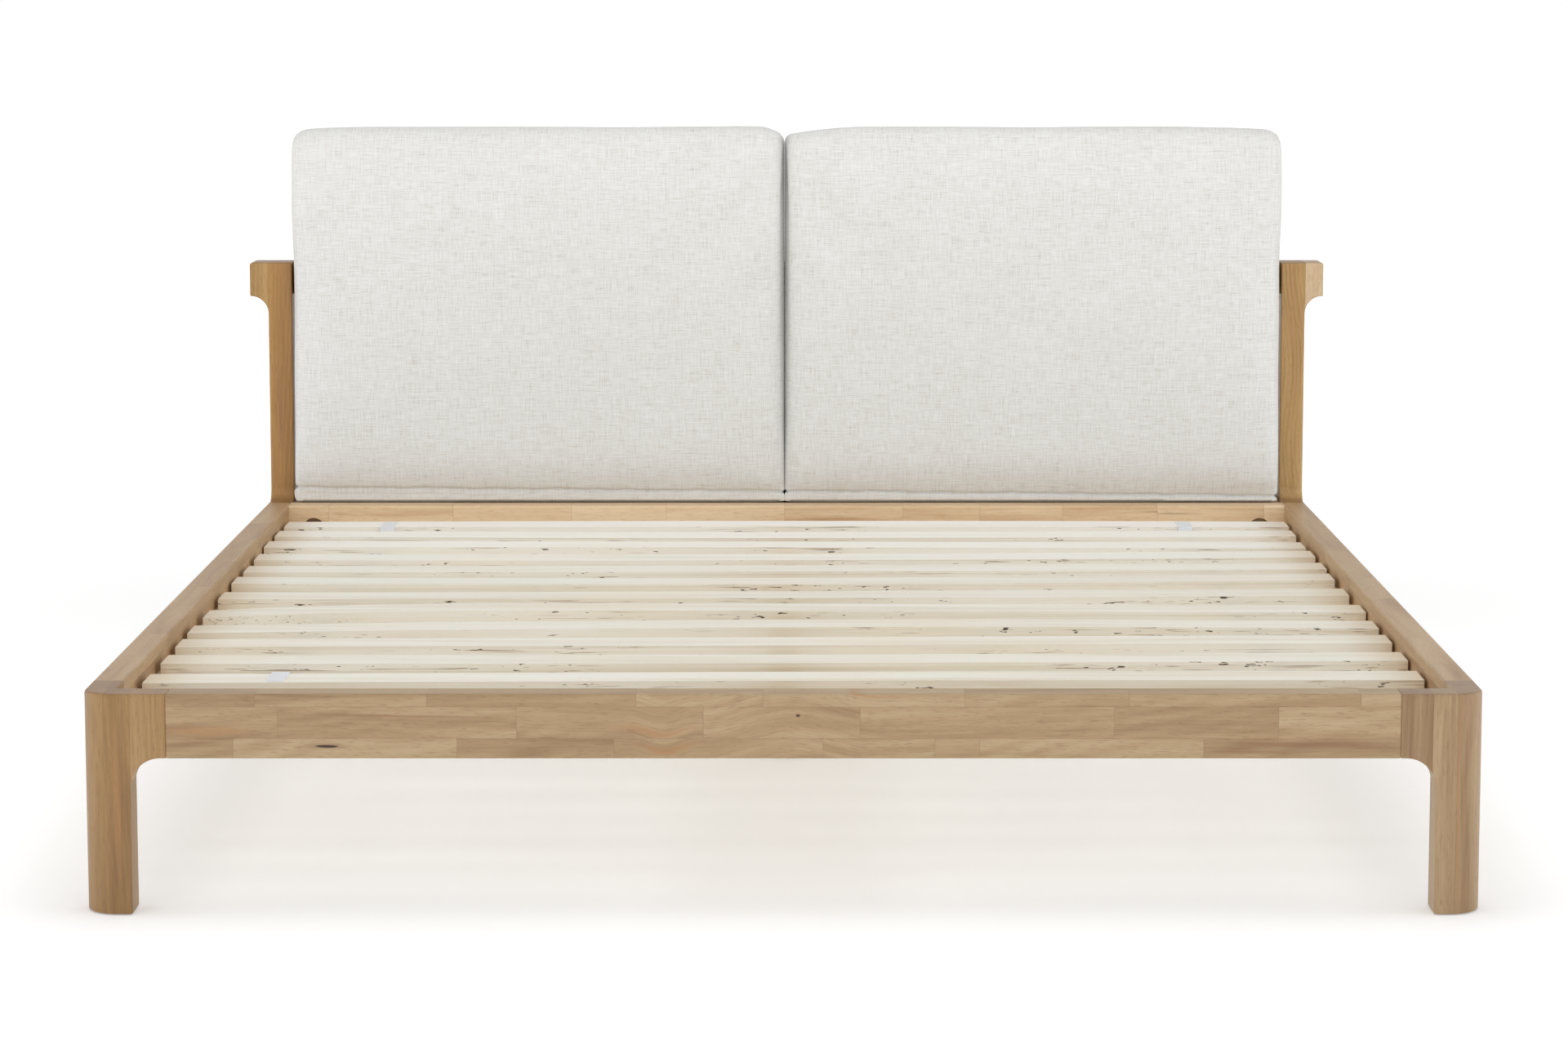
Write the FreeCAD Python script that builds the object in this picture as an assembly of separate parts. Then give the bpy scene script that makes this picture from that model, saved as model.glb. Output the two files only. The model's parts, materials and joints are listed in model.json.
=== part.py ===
import FreeCAD, Part
import math
import os

from FreeCAD import Vector

# A king-size bed frame in light hardwood, in millimetres. +X is the sleeper's left to right as seen
# from the foot, +Y runs from the foot to the head, +Z is up. The origin is on the floor under the
# middle of the frame. "Distance" in this file is measured from the foot end towards the head.

# Overall frame
FRAME_LENGTH = 2230.0
FRAME_WIDTH = 2100.0
RAIL_TOP = 337.0
RAIL_HEIGHT = 98.0
FRONT_RAIL_THICKNESS = 50.0
SIDE_RAIL_THICKNESS = 48.0
OUTER_ROUNDING = 5.0
INNER_ROUNDING = 3.0
LOWER_ROUNDING = 4.0
JOINT_GROOVE = 1.2

# Front legs: an L in plan at rail height, narrowing through coves to a leg
FRONT_ARM = 128.0
SIDE_ARM = 113.0
LEG_WIDTH = 74.0
LEG_DEPTH = 60.0
LEG_COVE = 45.0
LEG_CORNER_RADIUS = 50.0
FOOT_ROUNDING = 3.0

# Foot pads: felt discs let into the feet
PAD_RADIUS = 16.0
PAD_THICKNESS = 3.0
PAD_PROUD = 1.5

# Rear posts and headboard frame
POST_DEPTH = 80.0
POST_TOP = 820.0
POST_TOE = 54.0
POST_BASE_COVE = 25.0
EAR_REACH = 36.0
EAR_HEIGHT = 68.0
BOARD_RAIL_THICKNESS = 32.0
TOP_RAIL_HEIGHT = 66.0
STILE_WIDTH = 90.0

# Head rail of the bed box, between the side rails
HEAD_RAIL_DISTANCE = 2055.0
HEAD_RAIL_THICKNESS = 46.0
ACCESS_HOLE_RADIUS = 23.0
ACCESS_HOLE_X = 952.0
ACCESS_HOLE_Z = 289.0

# Slat base
SLAT_TOP = 312.0
SLAT_THICKNESS = 20.0
SLAT_WIDTH = 80.0
SLAT_LENGTH = 1990.0
# How far each slat lies to the right of the middle, from the head to the foot.
SLAT_SHIFTS = [0.5, -1.5, -3.5, 0.5, 1.5, -1.5, 0.0, 3.5, 1.0, 2.0, 2.5, 1.5]
LEDGER_WIDTH = 24.0
LEDGER_HEIGHT = 30.0
LEDGER_START = 175.0
WEBBING_X = 790.0
WEBBING_WIDTH = 28.0
WEBBING_THICKNESS = 1.2
WEBBING_SLACK = 5.0
WEBBING_HEAD_TURN = 68.0
WEBBING_FOOT_TURN = 76.0
STAPLE_WIDTH = 12.0
STAPLE_WIRE = 0.7

# The front edge of each slat, as its distance at the left end, the middle and the right end. The
# slats lie loose on their webbing, so none is quite parallel to the next. Head end first.
SLAT_LINES = [
    (1920, 1935, 1925),
    (1795, 1780, 1800),
    (1655, 1652, 1640),
    (1490, 1490, 1530),
    (1340, 1350, 1380),
    (1210, 1200, 1250),
    (1035, 1047, 1075),
    (837, 915, 895),
    (680, 742, 728),
    (547, 567, 588),
    (397, 401, 423),
    (225, 246, 253),
]
# This slat is straight from its right end to here, and springs forward from here to its left end.
CROOKED_SLAT = 8
CROOK_X = -450.0

# Centre support
BEAM_WIDTH = 60.0
BEAM_HEIGHT = 50.0
HANGER_THICKNESS = 2.5
HANGER_DEPTH = 40.0
HANGER_FLANGE = 30.0
HANGER_PLATE_DROP = 2.0
HANGER_TRAY_DROP = 12.0
HANGER_SCREW_INSET = 12.0
HANGER_SCREW_LENGTH = 30.0
LEG_PLATE_THICKNESS = 3.0
LEG_PLATE_REACH = 45.0
LEG_PLATE_SCREW_X = 20.0
LEG_PLATE_SCREW_REACH = 36.0
LEG_PLATE_SCREW_LENGTH = 28.0
LEG_SCREW_LENGTH = 45.0
CENTRE_LEG_DISTANCE = 1200.0
CENTRE_LEG_SIZE = 50.0
LEVELLER_BASE_RADIUS = 19.0
LEVELLER_BASE_HEIGHT = 9.0
LEVELLER_STEM_RADIUS = 4.0
LEVELLER_STEM_TOP = 62.0
LEVELLER_SOCKET_Z = 4.0
LEVELLER_ROUNDING = 3.0
LEVELLER_GAP = 1.0
LEVELLER_CLEARANCE = 0.3
INSERT_RADIUS = 6.0
INSERT_LENGTH = 16.0

# Headboard cushions
CUSHION_BOTTOM = 334.0
CUSHION_TOP = 1095.0
CUSHION_WIDTH = 995.0
CUSHION_SPLIT_X = -4.0
CUSHION_GAP = 2.0
CUSHION_FRONT = 2078.0
CUSHION_BACK = 2180.0
CUSHION_TOE = 2112.0
CUSHION_BAND_TOP = 366.0
CUSHION_TOP_ROUNDING = 42.0
CUSHION_BACK_ROUNDING = 15.0
CUSHION_EDGE_ROUNDING = 18.0
BACKER_THICKNESS = 14.0
BACKER_INSET = 8.0
BACKER_CORNER = 22.0
LINING_THICKNESS = 0.8
LINING_INSET = 14.0
LEDGE_THICKNESS = 32.0
LEDGE_CLEARANCE = 0.5
STRAP_WIDTH = 40.0
STRAP_THICKNESS = 2.0
STRAP_TAB = 50.0
STRAP_OFFSET = 260.0

# Fasteners
DOWEL_RADIUS = 5.0
DOWEL_LENGTH = 60.0
SCREW_RADIUS = 2.0
PLATE_SCREW_RADIUS = 3.0
PLATE_LENGTH = 100.0
PLATE_HEIGHT = 40.0
PLATE_THICKNESS = 3.0
PLATE_BOTTOM = 248.0
PLATE_SCREW_LENGTH = 18.0
PLATE_SCREW_INSET = 15.0
RAIL_DOWEL_INSET = 25.0
TOP_RAIL_DOWEL_INSET = 17.0
BOARD_DOWEL_ENTRY = 18.0
BOARD_DOWEL_LENGTH = 50.0
BOLT_RADIUS = 4.0
BOLT_RECESS = 10.0
BED_BOLT_LENGTH = 165.0
BED_BOLT_INSET = 26.0
BARREL_NUT_RADIUS = 7.0
BARREL_NUT_LENGTH = 34.0
BARREL_NUT_SETBACK = 12.0
HEAD_RAIL_BOLT_LENGTH = 60.0
WASHER_SEAT = 17.0
WASHER_INSET = 12.0
LEDGER_SCREW_COUNT = 7
LEDGER_SCREW_LENGTH = 45.0
LEDGER_SCREW_FIRST = 235.0
LEDGER_SCREW_LAST = 1965.0
LEDGE_SCREW_LENGTH = 70.0
LEDGE_SCREW_X = (-800, -400, 0, 400, 800)
LEDGE_DOWEL_LENGTH = 40.0
LEDGE_DOWEL_RADIUS = 4.0
LEDGE_DOWEL_X = (-600, -200, 200, 600)

# Worked out from the driving dimensions
LEFT = -FRAME_WIDTH / 2
INNER_X = FRAME_WIDTH / 2 - SIDE_RAIL_THICKNESS
RAIL_BOTTOM = RAIL_TOP - RAIL_HEIGHT
POST_DISTANCE = FRAME_LENGTH - POST_DEPTH
TOE_DISTANCE = POST_DISTANCE - POST_TOE
BOARD_RAIL_DISTANCE = CUSHION_BACK + BACKER_THICKNESS + LINING_THICKNESS
TOP_RAIL_BOTTOM = POST_TOP - TOP_RAIL_HEIGHT
SLAT_BOTTOM = SLAT_TOP - SLAT_THICKNESS
BEAM_BOTTOM = SLAT_BOTTOM - BEAM_HEIGHT
HEAD_RAIL_BACK = HEAD_RAIL_DISTANCE + HEAD_RAIL_THICKNESS
LEDGE_TOP = CUSHION_BOTTOM - LEDGE_CLEARANCE
LEDGE_MIDDLE_Z = LEDGE_TOP - LEDGE_THICKNESS / 2
HEAD_RAIL_MIDDLE = HEAD_RAIL_DISTANCE + HEAD_RAIL_THICKNESS / 2
CENTRE_LEG_BOTTOM = LEVELLER_BASE_HEIGHT + LEVELLER_GAP
FOOT_Y = -FRAME_LENGTH / 2

ORIGIN = Vector(0, 0, 0)
ACROSS = Vector(1, 0, 0)
TOWARDS_HEAD = Vector(0, 1, 0)
UP = Vector(0, 0, 1)
TO_THE_LEFT = Vector(-1, 0, 0)
TOWARDS_FOOT = Vector(0, -1, 0)
DOWN = Vector(0, 0, -1)


def along(distance):
    """The y of a distance from the foot end."""
    return FOOT_Y + distance


def block(x, distance, z):
    """A box between two x, two distances from the foot end and two heights."""
    corner = Vector(x[0], along(distance[0]), z[0])
    return Part.makeBox(x[1] - x[0], distance[1] - distance[0], z[1] - z[0], corner)


def rod(start, direction, length, radius):
    return Part.makeCylinder(radius, length, start, direction)


def mirrored(shape):
    """The same piece on the right-hand side."""
    return shape.mirror(ORIGIN, ACROSS)


def both_sides(shapes):
    return shapes + [mirrored(shape) for shape in shapes]


def bored(shape, fasteners):
    """The shape with a close-fitting hole for each fastener that enters it."""
    near = [f for f in fasteners if f.BoundBox.intersect(shape.BoundBox)]
    return shape.cut(Part.Compound(near)) if near else shape


def close(a, b):
    return abs(a - b) < 0.01


def softened(shape, radius, chosen):
    """The shape with the edges rounded whose middle point the test chooses."""
    edges = [edge for edge in shape.Edges if chosen(edge.CenterOfMass)]
    return shape.makeFillet(radius, edges)


def grooved(shape, size, chosen):
    """The shape with the edges bevelled whose middle point the test chooses."""
    edges = [edge for edge in shape.Edges if chosen(edge.CenterOfMass)]
    return shape.makeChamfer(size, edges)


def face_of(edges):
    return Part.Face(Part.Wire(edges))


def loop_of(points):
    """The straight edges round a closed list of points."""
    return Part.makePolygon(points + points[:1]).Edges


def arc(start, middle, end):
    return Part.Arc(start, middle, end).toShape()


def line(start, end):
    return Part.LineSegment(start, end).toShape()


# ---------------------------------------------------------------- fasteners


def screw(head, direction, length, radius):
    """A countersunk screw whose flat head lies at the given point."""
    cone = Part.makeCone(2 * radius, radius, radius, head, direction)
    return cone.fuse(rod(head, direction, length, radius))


def socket_bolt(head, direction, length, radius):
    """A cap bolt with a hexagon socket. The point is the underside of its head."""
    back = direction * -1
    cap = rod(head, back, 1.9 * radius, 1.6 * radius)
    socket = rod(head + back * (0.9 * radius), back, radius, 0.8 * radius)
    return cap.fuse(rod(head, direction, length, radius)).cut(socket)


def bolt_hole(head, direction, length, radius, recess):
    """The hole that the bolt needs, with a counterbore as deep as the recess for its head."""
    counterbore = rod(head, direction * -1, recess, 1.7 * radius)
    return rod(head, direction, length, radius).fuse(counterbore)


def corner_dowels():
    """Two beech dowels across each joint of the bed box."""
    front_x = LEFT + FRONT_ARM - DOWEL_LENGTH / 2
    side_x = LEFT + SIDE_RAIL_THICKNESS / 2
    dowels = []
    for z in (RAIL_BOTTOM + RAIL_DOWEL_INSET, RAIL_TOP - RAIL_DOWEL_INSET):
        start = Vector(front_x, along(FRONT_RAIL_THICKNESS / 2), z)
        dowels.append(rod(start, ACROSS, DOWEL_LENGTH, DOWEL_RADIUS))
        start = Vector(side_x, along(SIDE_ARM - DOWEL_LENGTH / 2), z)
        dowels.append(rod(start, TOWARDS_HEAD, DOWEL_LENGTH, DOWEL_RADIUS))
    return both_sides(dowels)


def headboard_dowels():
    """Two beech dowels across each joint of the headboard frame."""
    y = along(BOARD_RAIL_DISTANCE + BOARD_RAIL_THICKNESS / 2)
    low_rail = (RAIL_BOTTOM + RAIL_DOWEL_INSET, RAIL_TOP - RAIL_DOWEL_INSET)
    top_rail = (TOP_RAIL_BOTTOM + TOP_RAIL_DOWEL_INSET, POST_TOP - TOP_RAIL_DOWEL_INSET)
    ends = []
    for z in low_rail + top_rail:
        start = Vector(-INNER_X - BOARD_DOWEL_ENTRY, y, z)
        ends.append(rod(start, ACROSS, BOARD_DOWEL_LENGTH, DOWEL_RADIUS))
    stile = []
    for z in (RAIL_TOP, TOP_RAIL_BOTTOM):
        for x in (-STILE_WIDTH / 4, STILE_WIDTH / 4):
            start = Vector(x, y, z - BOARD_DOWEL_LENGTH / 2)
            stile.append(rod(start, UP, BOARD_DOWEL_LENGTH, DOWEL_RADIUS))
    return both_sides(ends) + stile


def joint_plates():
    """Flat steel plates inside the bed box, one across each leg joint."""
    z = (PLATE_BOTTOM, PLATE_BOTTOM + PLATE_HEIGHT)
    joint_x = LEFT + FRONT_ARM
    half = PLATE_LENGTH / 2
    inside = (FRONT_RAIL_THICKNESS, FRONT_RAIL_THICKNESS + PLATE_THICKNESS)
    front = block((joint_x - half, joint_x + half), inside, z)
    side = block((-INNER_X, -INNER_X + PLATE_THICKNESS), (SIDE_ARM - half, SIDE_ARM + half), z)
    return both_sides([front, side])


def joint_plate_screws():
    """Four screws through each joint plate."""
    screws = []
    z = PLATE_BOTTOM + PLATE_HEIGHT / 2
    front_y = along(FRONT_RAIL_THICKNESS + PLATE_THICKNESS)
    outer_step = PLATE_LENGTH / 2 - PLATE_SCREW_INSET
    for step in (-outer_step, -PLATE_SCREW_INSET, PLATE_SCREW_INSET, outer_step):
        head = Vector(LEFT + FRONT_ARM + step, front_y, z)
        screws.append(screw(head, TOWARDS_FOOT, PLATE_SCREW_LENGTH, PLATE_SCREW_RADIUS))
        head = Vector(-INNER_X + PLATE_THICKNESS, along(SIDE_ARM + step), z)
        screws.append(screw(head, TO_THE_LEFT, PLATE_SCREW_LENGTH, PLATE_SCREW_RADIUS))
    return both_sides(screws)


def bed_bolt_heads():
    """Where the heads of the left post's two bed bolts sit, in counterbores in its back."""
    x = LEFT + SIDE_RAIL_THICKNESS / 2
    y = along(FRAME_LENGTH - BOLT_RECESS)
    return [Vector(x, y, z) for z in (RAIL_BOTTOM + BED_BOLT_INSET, RAIL_TOP - BED_BOLT_INSET)]


def bed_bolts():
    """Two long bolts through each rear post into its side rail."""
    bolts = []
    for head in bed_bolt_heads():
        bolts.append(socket_bolt(head, TOWARDS_FOOT, BED_BOLT_LENGTH, BOLT_RADIUS))
    return both_sides(bolts)


def bed_bolt_holes():
    holes = []
    for head in bed_bolt_heads():
        holes.append(bolt_hole(head, TOWARDS_FOOT, BED_BOLT_LENGTH, BOLT_RADIUS, BOLT_RECESS))
    return holes


def barrel_nut_holes():
    """The cross holes in the left side rail for the nuts that its bed bolts screw into."""
    holes = []
    for head in bed_bolt_heads():
        start = Vector(-INNER_X, head.y - BED_BOLT_LENGTH + BARREL_NUT_SETBACK, head.z)
        holes.append(rod(start, TO_THE_LEFT, BARREL_NUT_LENGTH, BARREL_NUT_RADIUS))
    return holes


def barrel_nuts(bolts):
    return both_sides([bored(nut, bolts) for nut in barrel_nut_holes()])


def head_rail_bolts():
    """One bolt from each access hole through the rail's end into the side rail."""
    seat = Vector(-ACCESS_HOLE_X - WASHER_SEAT, along(HEAD_RAIL_MIDDLE), ACCESS_HOLE_Z)
    return both_sides([socket_bolt(seat, TO_THE_LEFT, HEAD_RAIL_BOLT_LENGTH, BOLT_RADIUS)])


def head_rail_bolt_hole():
    start = Vector(-ACCESS_HOLE_X, along(HEAD_RAIL_MIDDLE), ACCESS_HOLE_Z)
    return rod(start, TO_THE_LEFT, WASHER_SEAT + HEAD_RAIL_BOLT_LENGTH, BOLT_RADIUS)


def head_rail_washers(bolts):
    """Half-moon washers that seat the head rail bolts in their round holes."""
    front = HEAD_RAIL_DISTANCE + WASHER_INSET
    back = HEAD_RAIL_BACK - WASHER_INSET
    centre = Vector(-ACCESS_HOLE_X, along(front), ACCESS_HOLE_Z)
    disc = rod(centre, TOWARDS_HEAD, back - front, ACCESS_HOLE_RADIUS)
    outside = block((-INNER_X, -ACCESS_HOLE_X - WASHER_SEAT), (front, back), (RAIL_BOTTOM, RAIL_TOP))
    return both_sides([bored(disc.common(outside), bolts)])


def insert_hole():
    start = Vector(-INNER_X, along(HEAD_RAIL_MIDDLE), ACCESS_HOLE_Z)
    return rod(start, TO_THE_LEFT, INSERT_LENGTH, INSERT_RADIUS)


def head_rail_inserts(bolts):
    """Threaded inserts in the side rails for the head rail bolts."""
    return both_sides([bored(insert_hole(), bolts)])


def ledger_screws():
    """Screws through the left ledger strip into the side rail."""
    z = SLAT_BOTTOM - LEDGER_HEIGHT / 2
    spacing = (LEDGER_SCREW_LAST - LEDGER_SCREW_FIRST) / (LEDGER_SCREW_COUNT - 1)
    screws = []
    for step in range(LEDGER_SCREW_COUNT):
        head = Vector(-INNER_X + LEDGER_WIDTH, along(LEDGER_SCREW_FIRST + spacing * step), z)
        screws.append(screw(head, TO_THE_LEFT, LEDGER_SCREW_LENGTH, SCREW_RADIUS))
    return screws


def ledge_screws():
    """Screws from behind the lower headboard rail into the edge of the cushion ledge."""
    y = along(BOARD_RAIL_DISTANCE + BOARD_RAIL_THICKNESS)
    heads = [Vector(x, y, LEDGE_MIDDLE_Z) for x in LEDGE_SCREW_X]
    return [screw(head, TOWARDS_FOOT, LEDGE_SCREW_LENGTH, SCREW_RADIUS) for head in heads]


def ledge_dowels():
    """Dowels between the head rail and the cushion ledge."""
    y = along(HEAD_RAIL_BACK - LEDGE_DOWEL_LENGTH / 2)
    starts = [Vector(x, y, LEDGE_MIDDLE_Z) for x in LEDGE_DOWEL_X]
    return [rod(start, TOWARDS_HEAD, LEDGE_DOWEL_LENGTH, LEDGE_DOWEL_RADIUS) for start in starts]


# ---------------------------------------------------------------- bed box


def coved_plate(arm, leg, thickness):
    """A leg with an arm along +X at rail height, and a cove where the arm meets the leg."""
    low = RAIL_BOTTOM
    sweep = LEG_COVE * (1 - math.sqrt(0.5))
    start = Vector(leg, 0, low - LEG_COVE)
    middle = Vector(leg + sweep, 0, low - sweep)
    end = Vector(leg + LEG_COVE, 0, low)
    corners = [
        end,
        Vector(arm, 0, low),
        Vector(arm, 0, RAIL_TOP),
        Vector(0, 0, RAIL_TOP),
        Vector(0, 0, PAD_PROUD),
        Vector(leg, 0, PAD_PROUD),
        start,
    ]
    edges = [line(a, b) for a, b in zip(corners, corners[1:])]
    return face_of(edges + [arc(start, middle, end)]).extrude(TOWARDS_HEAD * thickness)


def front_leg():
    """The left front leg, made with its outer corner on the z axis and then put in place."""
    front = coved_plate(FRONT_ARM, LEG_WIDTH, FRONT_RAIL_THICKNESS)
    side = coved_plate(SIDE_ARM, LEG_DEPTH, SIDE_RAIL_THICKNESS).mirror(ORIGIN, Vector(1, -1, 0))
    core_top = SLAT_BOTTOM - LEDGER_HEIGHT
    core = Part.makeBox(LEG_WIDTH, LEG_DEPTH, core_top - PAD_PROUD, Vector(0, 0, PAD_PROUD))
    leg = front.fuse([side, core]).removeSplitter()
    leg = softened(leg, LEG_CORNER_RADIUS, lambda c: close(c.x, 0) and close(c.y, 0))

    def outer_top(c):
        on_corner = c.x < LEG_CORNER_RADIUS and c.y < LEG_CORNER_RADIUS
        return close(c.z, RAIL_TOP) and (close(c.y, 0) or close(c.x, 0) or on_corner)

    def inner_top(c):
        on_inside = close(c.y, FRONT_RAIL_THICKNESS) or close(c.x, SIDE_RAIL_THICKNESS)
        return close(c.z, RAIL_TOP) and on_inside

    def leg_uprights(c):
        below_cove = PAD_PROUD + 1 < c.z < RAIL_BOTTOM - LEG_COVE
        front = close(c.x, LEG_WIDTH) and close(c.y, 0)
        side = close(c.x, 0) and close(c.y, LEG_DEPTH)
        inside = close(c.x, LEG_WIDTH) and close(c.y, LEG_DEPTH)
        return inside or (below_cove and (front or side))

    leg = softened(leg, OUTER_ROUNDING, outer_top)
    leg = softened(leg, INNER_ROUNDING, inner_top)
    leg = softened(leg, LOWER_ROUNDING, leg_uprights)
    leg = softened(leg, FOOT_ROUNDING, lambda c: close(c.z, PAD_PROUD))
    leg = leg.cut(rod(Vector(LEG_WIDTH / 2, LEG_DEPTH / 2, 0), UP, PAD_THICKNESS, PAD_RADIUS))
    leg.translate(Vector(LEFT, FOOT_Y, 0))
    groove_x = LEFT + FRONT_ARM
    return grooved(leg, JOINT_GROOVE, lambda c: close(c.x, groove_x) and c.y < FOOT_Y + 1)


def front_rail():
    half = FRAME_WIDTH / 2 - FRONT_ARM
    rail = block((-half, half), (0, FRONT_RAIL_THICKNESS), (RAIL_BOTTOM, RAIL_TOP))
    rail = softened(rail, OUTER_ROUNDING, lambda c: close(c.z, RAIL_TOP) and close(c.y, FOOT_Y))
    inner_y = along(FRONT_RAIL_THICKNESS)
    rail = softened(rail, INNER_ROUNDING, lambda c: close(c.z, RAIL_TOP) and close(c.y, inner_y))
    rail = softened(rail, LOWER_ROUNDING, lambda c: close(c.z, RAIL_BOTTOM) and close(c.y, FOOT_Y))
    return grooved(rail, JOINT_GROOVE, lambda c: close(abs(c.x), half) and c.y < FOOT_Y + 1)


def side_rail():
    rail = block((LEFT, -INNER_X), (SIDE_ARM, TOE_DISTANCE), (RAIL_BOTTOM, RAIL_TOP))
    rail = softened(rail, OUTER_ROUNDING, lambda c: close(c.z, RAIL_TOP) and close(c.x, LEFT))
    rail = softened(rail, LOWER_ROUNDING, lambda c: close(c.z, RAIL_BOTTOM) and close(c.x, LEFT))
    return softened(rail, INNER_ROUNDING, lambda c: close(c.z, RAIL_TOP) and close(c.x, -INNER_X))


def head_rail():
    rail = block((-INNER_X, INNER_X), (HEAD_RAIL_DISTANCE, HEAD_RAIL_BACK), (RAIL_BOTTOM, RAIL_TOP))
    front_y = along(HEAD_RAIL_DISTANCE)
    rail = softened(rail, OUTER_ROUNDING, lambda c: close(c.z, RAIL_TOP) and close(c.y, front_y))
    for x in (-ACCESS_HOLE_X, ACCESS_HOLE_X):
        centre = Vector(x, front_y, ACCESS_HOLE_Z)
        rail = rail.cut(rod(centre, TOWARDS_HEAD, HEAD_RAIL_THICKNESS, ACCESS_HOLE_RADIUS))
    return rail


# ---------------------------------------------------------------- headboard frame


def post_body():
    """The left rear leg and headboard post in one, with a toe that meets the side rail."""
    front, back = along(POST_DISTANCE), along(FRAME_LENGTH)
    toe = front - POST_TOE
    low_sweep = LEG_COVE * (1 - math.sqrt(0.5))
    top_sweep = POST_BASE_COVE * (1 - math.sqrt(0.5))
    low = [
        Vector(LEFT, front, RAIL_BOTTOM - LEG_COVE),
        Vector(LEFT, front - low_sweep, RAIL_BOTTOM - low_sweep),
        Vector(LEFT, front - LEG_COVE, RAIL_BOTTOM),
    ]
    top = [
        Vector(LEFT, front - POST_BASE_COVE, RAIL_TOP),
        Vector(LEFT, front - top_sweep, RAIL_TOP + top_sweep),
        Vector(LEFT, front, RAIL_TOP + POST_BASE_COVE),
    ]
    toe_corners = [low[2], Vector(LEFT, toe, RAIL_BOTTOM), Vector(LEFT, toe, RAIL_TOP), top[0]]
    post_corners = [
        top[2],
        Vector(LEFT, front, POST_TOP),
        Vector(LEFT, back, POST_TOP),
        Vector(LEFT, back, PAD_PROUD),
        Vector(LEFT, front, PAD_PROUD),
        low[0],
    ]
    edges = [arc(*low)]
    edges += [line(a, b) for a, b in zip(toe_corners, toe_corners[1:])]
    edges.append(arc(*top))
    edges += [line(a, b) for a, b in zip(post_corners, post_corners[1:])]
    return face_of(edges).extrude(ACROSS * SIDE_RAIL_THICKNESS)


def ear_body():
    """The block on the outside of the left post, coved underneath."""
    end = LEFT - EAR_REACH
    low = POST_TOP - EAR_HEIGHT
    reach = EAR_REACH * math.sqrt(0.5)
    y = along(POST_DISTANCE)
    cove = [
        Vector(end, y, low),
        Vector(end + reach, y, low - EAR_REACH + reach),
        Vector(LEFT, y, low - EAR_REACH),
    ]
    corners = [cove[2], Vector(LEFT, y, POST_TOP), Vector(end, y, POST_TOP), cove[0]]
    edges = [arc(*cove)] + [line(a, b) for a, b in zip(corners, corners[1:])]
    return face_of(edges).extrude(TOWARDS_HEAD * POST_DEPTH)


def post_and_ear():
    """The left post and its ear, shaped and rounded as one and then parted at the glue line."""
    front, back = along(POST_DISTANCE), along(FRAME_LENGTH)
    end = LEFT - EAR_REACH
    body = post_body().fuse(ear_body()).removeSplitter()

    def top_edges(c):
        return close(c.z, POST_TOP) and (close(c.y, front) or close(c.y, back) or close(c.x, end))

    def outer_uprights(c):
        on_face = close(c.y, front) or close(c.y, back)
        return on_face and close(c.x, LEFT) and c.z > RAIL_TOP

    def foot_uprights(c):
        return close(c.y, front) and close(c.x, LEFT) and c.z < RAIL_BOTTOM - LEG_COVE

    def toe_inner_top(c):
        toe_middle = front - (POST_BASE_COVE + POST_TOE) / 2
        return close(c.z, RAIL_TOP) and close(c.x, -INNER_X) and close(c.y, toe_middle)

    body = softened(body, OUTER_ROUNDING, outer_uprights)
    body = softened(body, OUTER_ROUNDING, top_edges)
    body = softened(body, LOWER_ROUNDING, foot_uprights)
    body = softened(body, INNER_ROUNDING, toe_inner_top)
    pad_centre = Vector(LEFT + SIDE_RAIL_THICKNESS / 2, (front + back) / 2, 0)
    body = body.cut(rod(pad_centre, UP, PAD_THICKNESS, PAD_RADIUS))
    outside = block((end - 1, LEFT), (TOE_DISTANCE - 1, FRAME_LENGTH + 1), (0, POST_TOP + 1))
    return body.cut(outside), body.common(outside)


def board_rail(z):
    """A rail between the posts, behind the cushions."""
    back = BOARD_RAIL_DISTANCE + BOARD_RAIL_THICKNESS
    rail = block((-INNER_X, INNER_X), (BOARD_RAIL_DISTANCE, back), z)
    front_y = along(BOARD_RAIL_DISTANCE)
    return softened(rail, INNER_ROUNDING, lambda c: close(c.x, 0) and not close(c.y, front_y))


def headboard_stile():
    distance = (BOARD_RAIL_DISTANCE, BOARD_RAIL_DISTANCE + BOARD_RAIL_THICKNESS)
    return block((-STILE_WIDTH / 2, STILE_WIDTH / 2), distance, (RAIL_TOP, TOP_RAIL_BOTTOM))


def cushion_ledge():
    distance = (HEAD_RAIL_BACK, BOARD_RAIL_DISTANCE)
    return block((-INNER_X, INNER_X), distance, (LEDGE_TOP - LEDGE_THICKNESS, LEDGE_TOP))


# ---------------------------------------------------------------- cushions


def cushion_span(side):
    """The x of the two sides of the left (-1) or right (+1) cushion."""
    inner = CUSHION_SPLIT_X + side * CUSHION_GAP / 2
    return sorted((inner, inner + side * CUSHION_WIDTH))


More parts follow.
